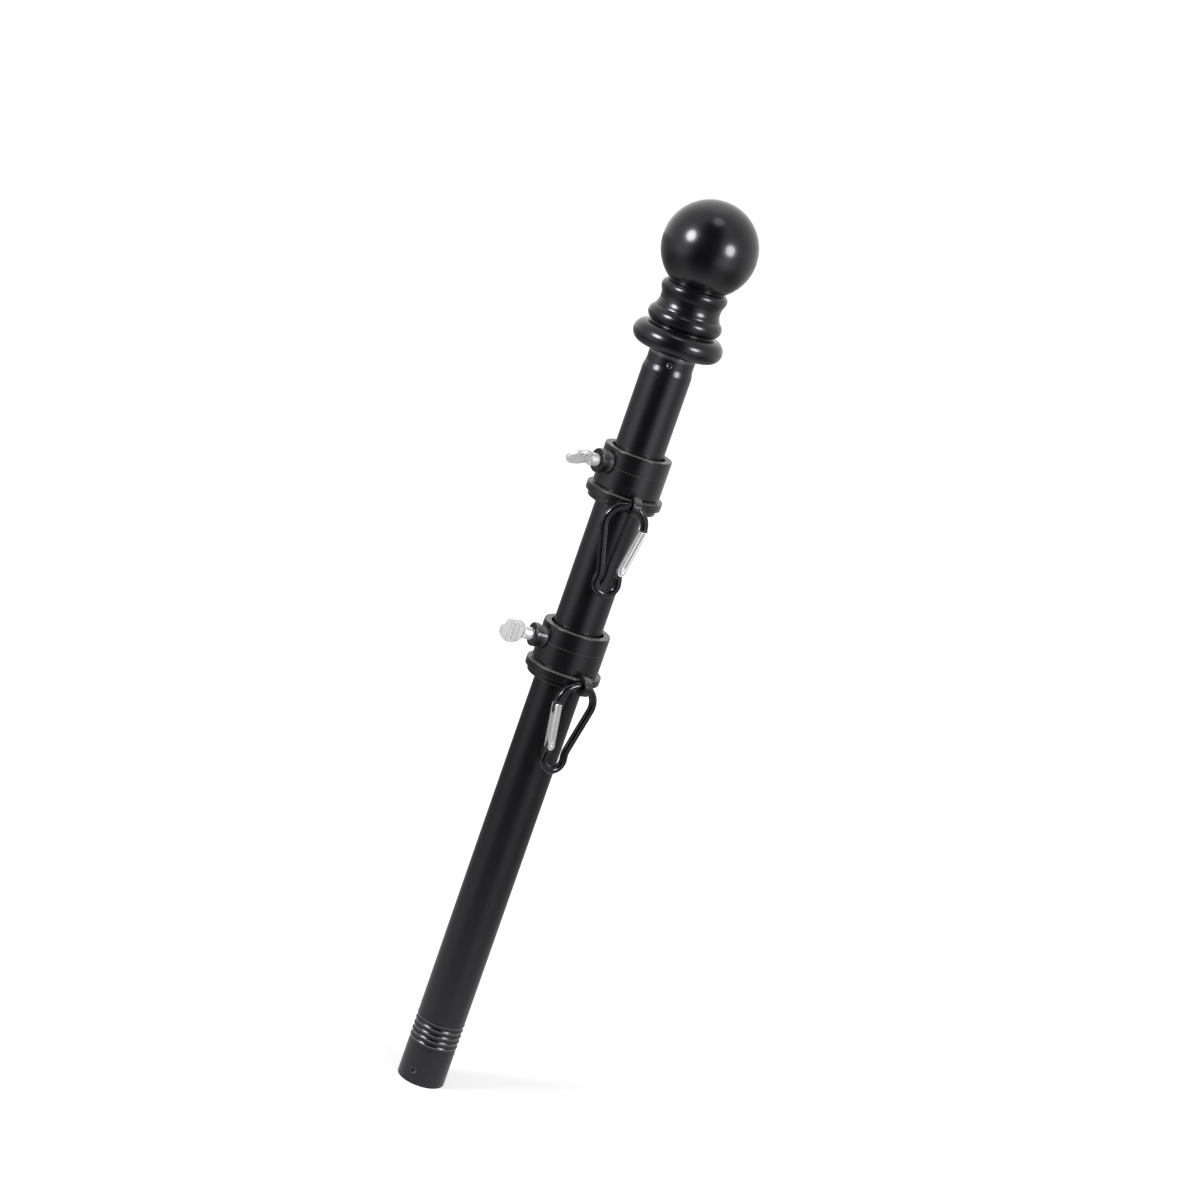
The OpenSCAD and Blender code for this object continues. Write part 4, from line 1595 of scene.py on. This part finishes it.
    def gate_solid(self) -> Solid:
        """Builds the gate: its channel and two round ears, with crowned and creased flanks.

        Returns:
            The solid.
        """
        solid, half, wall = self.channel(), self.gate_half, self.gate_wall
        ear = arc((0, 0), self.ear_radius, 180, 360, self.ear_turn)
        top = spaced(self.ear_radius, -self.ear_radius, self.ear_step)
        flap = plate([*ear, *((x, self.ear_rise) for x in top)], wall, self.ear_edge)
        for way in (-1, 1):
            side = Matrix.Translation((0, way * (half - wall / 2 - self.ear_sink), 0))
            solid.add(flap, side @ tilted(90, "X"))
        for point in solid.points:
            if abs(point.y) > half - self.pressed_skin * wall:
                point.y -= math.copysign(self.press(point.x, point.z), point.y)
        return solid

    def press(self, x: float, z: float) -> float:
        """How far the outside of the gate's flank lies below flat, at a place on it.

        Args:
            x: Place across the flank.
            z: Place along the gate.

        Returns:
            The depth of the crown and the pressed line there.
        """
        low, high = self.crease_start
        line = math.exp(-(((x - self.crease_place) / self.crease_width) ** 2))
        crown = self.gate_crown * ((x + self.crown_shift) / self.gate_half) ** 2
        return crown + self.crease_depth * line * smooth((z - low) / (high - low))

    def pin_solid(self) -> Solid:
        """Builds the gate's pin with its two domed rivet heads, about Z.

        Returns:
            The solid.
        """
        neck = self.gate_half + self.rivet_gap
        head = neck + self.rivet_head
        half_line = [(self.pin_radius, 0), (self.pin_radius, neck), (self.rivet_radius, neck),
                     (self.rivet_radius, neck + self.rivet_rim)]
        half_line += [(self.rivet_radius * share, head - drop) for share, drop in self.rivet_dome]
        line = [(r, -z) for r, z in reversed(half_line)] + half_line[1:]
        return turned(line, self.pin_sides, closed=False)

    def build(self, bench: Bench, side: Side, height: float, turn: float) -> None:
        """Builds, dresses and hands over the wire, the pin and the gate.

        Args:
            bench: The bench.
            side: Which clamp.
            height: Height of the ring's middle.
            turn: Direction of the eye, in radians from the front.
        """
        name, hand, offset = side.value, self.hands[side], self.offsets[side]
        drop = math.sqrt(self.wide_radius**2 - offset**2)
        hung = raised(height, turn) @ moved(offset, -self.reach, -drop) @ tilted(-self.leans[side], "Y")
        wire = self.wire_solid().mirrored(hand).to_object(f"{name}_hook_wire", hung)
        bench.fit(wire, Body.HOOK.of(side), f"{name}_hook", HOOK_BLACK)
        hinge = hung @ moved(hand * self.pin_x, 0, self.pin_z) @ Matrix.Rotation(
            hand * self.side_slope, 4, "Y")
        pin = self.pin_solid().to_object(f"{name}_rivet_pin", hinge @ tilted(90, "X"))
        bench.fit(pin, Body.HOOK.of(side), f"{name}_gate_pin", GATE_METAL)
        gate = self.gate_solid().mirrored(hand).to_object(
            f"{name}_sheet_gate", hinge, crease=self.gate_crease, own_axes=True)
        bench.fit(with_flat_faces(gate), Body.GATE.of(side), f"{name}_gate", GATE_METAL)


# ---------------------------------------------------------------- studio


@dataclass(frozen=True)
class Lamp:
    """A soft lamp, placed round the finial."""

    name: str
    azimuth: float
    elevation: float
    distance: float
    size: float
    watts: float


@dataclass
class Studio:
    """White sweep, soft lamps and the camera. Azimuth 0 is the camera's side.

    The two tables give how bright gloss sees the floor and the walls, by azimuth in degrees.
    """

    floor_half: float = 4.0
    floor_drop: float = 0.05
    floor_tone: float = 0.8
    floor_lift: Pair = (0.48, 0.86)
    lift_reach: Pair = (0.2, 1.0)
    ambient: float = 0.32
    near_level: float = 0.86
    near_reach: float = 0.36
    near_power: float = 1.6
    near_tone: float = 0.74
    dim_reach: Pair = (0.5, 1.5)
    dim_level: float = 0.3
    overhead_level: float = 0.55
    overhead_from: Pair = (0.95, 0.998)
    round_floor: tuple[Pair, ...] = (
        (-180, 0.6), (-150, 0.34), (-125, 0.28), (-105, 0.32), (-90, 0.5), (-75, 0.86),
        (-60, 0.92), (-50, 0.66), (-40, 0.26), (-30, 0.03), (-22, 0.0), (0, 0.0), (11, 0.0),
        (18, 0.2), (28, 0.68), (41, 1.1), (53, 1.04), (66, 0.64), (85, 0.38), (105, 0.55),
        (125, 0.6), (150, 0.62), (180, 0.6))
    round_walls: tuple[Pair, ...] = (
        (-180, 1.0), (-150, 1.0), (-125, 0.75), (-105, 0.6), (-90, 0.56), (-75, 0.6),
        (-60, 0.56), (-50, 0.34), (-40, 0.12), (-30, 0.0), (-22, 0.0), (0, 0.0), (14, 0.0),
        (21, 0.08), (29, 0.32), (40, 0.54), (52, 0.6), (65, 0.52), (85, 0.5), (105, 0.62),
        (125, 0.7), (150, 0.8), (180, 1.0))
    target: Triple = (0.0, 0.0, 0.46)
    camera_place: Triple = (0.0, -1.486, 0.636)
    camera_pitch: float = 13.661
    camera_yaw: float = 0.233
    camera_roll: float = 19.305
    lens: float = 91.206
    sensor: float = 36
    clip: Pair = (0.01, 50)
    lamps: tuple[Lamp, ...] = (
        Lamp("lamp_left", -55, 17, 1.3, 0.52, 14),
        Lamp("lamp_right", 49, 14, 1.3, 0.52, 10),
        Lamp("lamp_above", -4, 75, 1.4, 0.5, 1.2),
    )

    def surroundings(self, graph: Graph, where: object, table: Sequence[Pair]) -> object:
        """How bright the studio is in one direction, as gloss sees it.

        Args:
            graph: The graph to add to.
            where: Output socket with the direction, or a place on the floor.
            table: Azimuths in degrees, each with its level.

        Returns:
            The level's output socket.
        """
        axes = graph.node("SeparateXYZ", {0: where})
        back = graph.math("MULTIPLY", axes.outputs["Y"], -1.0)
        turn = graph.math("ARCTAN2", axes.outputs["X"], back)
        share = graph.linear(turn, 1 / (2 * math.pi), 0.5)
        ring = graph.node("ValToRGB", {"Fac": share})
        stops = ring.color_ramp.elements
        for azimuth, _ in table[1:-1]:
            stops.new((azimuth + 180) / 360)
        for stop, (_, level) in zip(stops, table):
            stop.color = (level, level, level, 1)
        return ring.outputs["Color"]

    def floor(self) -> None:
        """Adds the floor. The camera sees it white with the object's shadow."""
        half = self.floor_half / MM
        signs = ((-1, -1), (1, -1), (1, 1), (-1, 1))
        corners = [Vector((x * half, y * half, -self.floor_drop)) for x, y in signs]
        floor = Solid(corners, [(0, 1, 2, 3)]).to_object("studio_floor", raised(0))
        material = bpy.data.materials.new("studio_floor_white")
        material.use_nodes = True
        material.node_tree.nodes.clear()
        graph = Graph(material.node_tree)
        path = graph.node("LightPath")
        tone = self.floor_tone
        paper = graph.node("BsdfDiffuse", {"Color": (tone, tone, tone, 1)})
        where = graph.node("TexCoord").outputs["Object"]
        far = graph.node("VectorMath", {0: where}, operation="LENGTH").outputs["Value"]
        lift = graph.ramp(far, *self.lift_reach, self.floor_lift)
        lift = graph.math("MULTIPLY", path.outputs["Is Camera Ray"], lift)
        glow = graph.node("Emission", {"Color": WHITE, "Strength": lift})
        lit = graph.node("AddShader", {0: paper.outputs[0], 1: glow.outputs[0]})
        reach = graph.math("POWER", graph.math("DIVIDE", far, self.near_reach), self.near_power)
        near = graph.math("MULTIPLY", graph.math("POWER", math.exp(-1), reach), self.near_level)
        level = self.surroundings(graph, where, self.round_floor)
        level = graph.math(
            "MULTIPLY", level, graph.ramp(far, *self.dim_reach, (self.dim_level, 1.0)))
        rest = graph.math("MULTIPLY", level, graph.math("SUBTRACT", 1.0, near))
        level = graph.math("ADD", rest, graph.math("MULTIPLY", near, self.near_tone))
        sheet = graph.node("Emission", {"Color": WHITE, "Strength": level})
        seen = graph.math(
            "MAXIMUM", path.outputs["Is Glossy Ray"], path.outputs["Is Transmission Ray"])
        both = graph.node("MixShader", {0: seen, 1: lit.outputs[0], 2: sheet.outputs[0]})
        graph.node("OutputMaterial", {"Surface": both.outputs[0]})
        floor.data.materials.append(material)

    def world(self) -> None:
        """Sets the surroundings: white to the camera, plain ambient light, and a dark gap in gloss."""
        world = bpy.data.worlds.new("studio_world")
        bpy.context.scene.world = world
        world.use_nodes = True
        world.node_tree.nodes.clear()
        graph = Graph(world.node_tree)
        path = graph.node("LightPath")
        where = graph.node("TexCoord").outputs["Generated"]
        level = self.surroundings(graph, where, self.round_walls)
        height = graph.node("SeparateXYZ", {0: where}).outputs["Z"]
        above = graph.ramp(height, *self.overhead_from)
        rest = graph.math("MULTIPLY", level, graph.math("SUBTRACT", 1.0, above))
        shine = graph.math("ADD", rest, graph.math("MULTIPLY", above, self.overhead_level))
        plain = graph.math("MAXIMUM", path.outputs["Is Camera Ray"], path.outputs["Is Transmission Ray"])
        soft = graph.node("Background", {"Color": WHITE, "Strength": self.ambient})
        mirror = graph.node("Background", {"Color": WHITE, "Strength": shine})
        white = graph.node("Background", {"Color": WHITE, "Strength": 1.0})
        lit = graph.node(
            "MixShader", {0: path.outputs["Is Glossy Ray"], 1: soft.outputs[0], 2: mirror.outputs[0]})
        whole = graph.node("MixShader", {0: plain, 1: lit.outputs[0], 2: white.outputs[0]})
        graph.node("OutputWorld", {"Surface": whole.outputs[0]})

    def light(self) -> None:
        """Adds the lamps, each aimed at the finial."""
        middle = Vector(self.target)
        for lamp in self.lamps:
            data = bpy.data.lights.new(lamp.name, "AREA")
            data.shape = "DISK"
            data.size = lamp.size
            data.energy = lamp.watts
            made = bpy.data.objects.new(lamp.name, data)
            bpy.context.scene.collection.objects.link(made)
            azimuth, rise = math.radians(lamp.azimuth), math.radians(lamp.elevation)
            away = Vector((
                math.sin(azimuth) * math.cos(rise), -math.cos(azimuth) * math.cos(rise), math.sin(rise)))
            made.location = middle + away * lamp.distance
            made.rotation_euler = away.to_track_quat("Z", "Y").to_euler()

    def camera(self) -> None:
        """Adds the camera at its viewing angle."""
        pitch, yaw, roll = (
            math.radians(v) for v in (self.camera_pitch, self.camera_yaw, self.camera_roll))
        forward = Vector((
            math.sin(yaw) * math.cos(pitch), math.cos(yaw) * math.cos(pitch), -math.sin(pitch)))
        right = forward.cross(Vector((0, 0, 1))).normalized()
        up = right.cross(forward)
        across = right * math.cos(roll) + up * math.sin(roll)
        upward = up * math.cos(roll) - right * math.sin(roll)
        data = bpy.data.cameras.new("camera")
        data.lens = self.lens
        data.sensor_width = self.sensor
        data.clip_start, data.clip_end = self.clip
        made = bpy.data.objects.new("camera", data)
        bpy.context.scene.collection.objects.link(made)
        turn = Matrix((across, upward, -forward)).transposed().to_4x4()
        made.matrix_world = Matrix.Translation(self.camera_place) @ turn
        bpy.context.scene.camera = made

    def build(self) -> None:
        """Sets the whole stage."""
        self.camera()
        self.floor()
        self.world()
        self.light()
        bpy.context.scene.view_settings.view_transform = "Standard"


def main() -> None:
    """Builds the stage and every sub-assembly in order."""
    logging.basicConfig(level=logging.INFO, format="%(name)s: %(message)s", stream=sys.stdout)
    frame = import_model()
    Studio().build()
    bench = Bench(frame["joints"])
    Tube().build(bench)
    Finial().build(bench)
    clamp, swivel, screw, hook = Clamp(), Swivel(), ThumbScrew(), SnapHook()
    for side in Side:
        low, high = bench.heights(f"{side.value}_ring")
        height = (low + high) / 2
        screw_turn = bench.direction(bench.joints[f"{side.value}_screw_turn"]["axis"])
        eye_turn = bench.direction(bench.joints[f"{side.value}_hook_swing"]["pos_m"])
        clamp.build(bench, side, height, screw_turn)
        swivel.build(bench, side, height, eye_turn)
        screw.build(bench, side, height + clamp.screw_height, screw_turn)
        hook.build(bench, side, height, eye_turn)


if __name__ == "__main__":
    main()
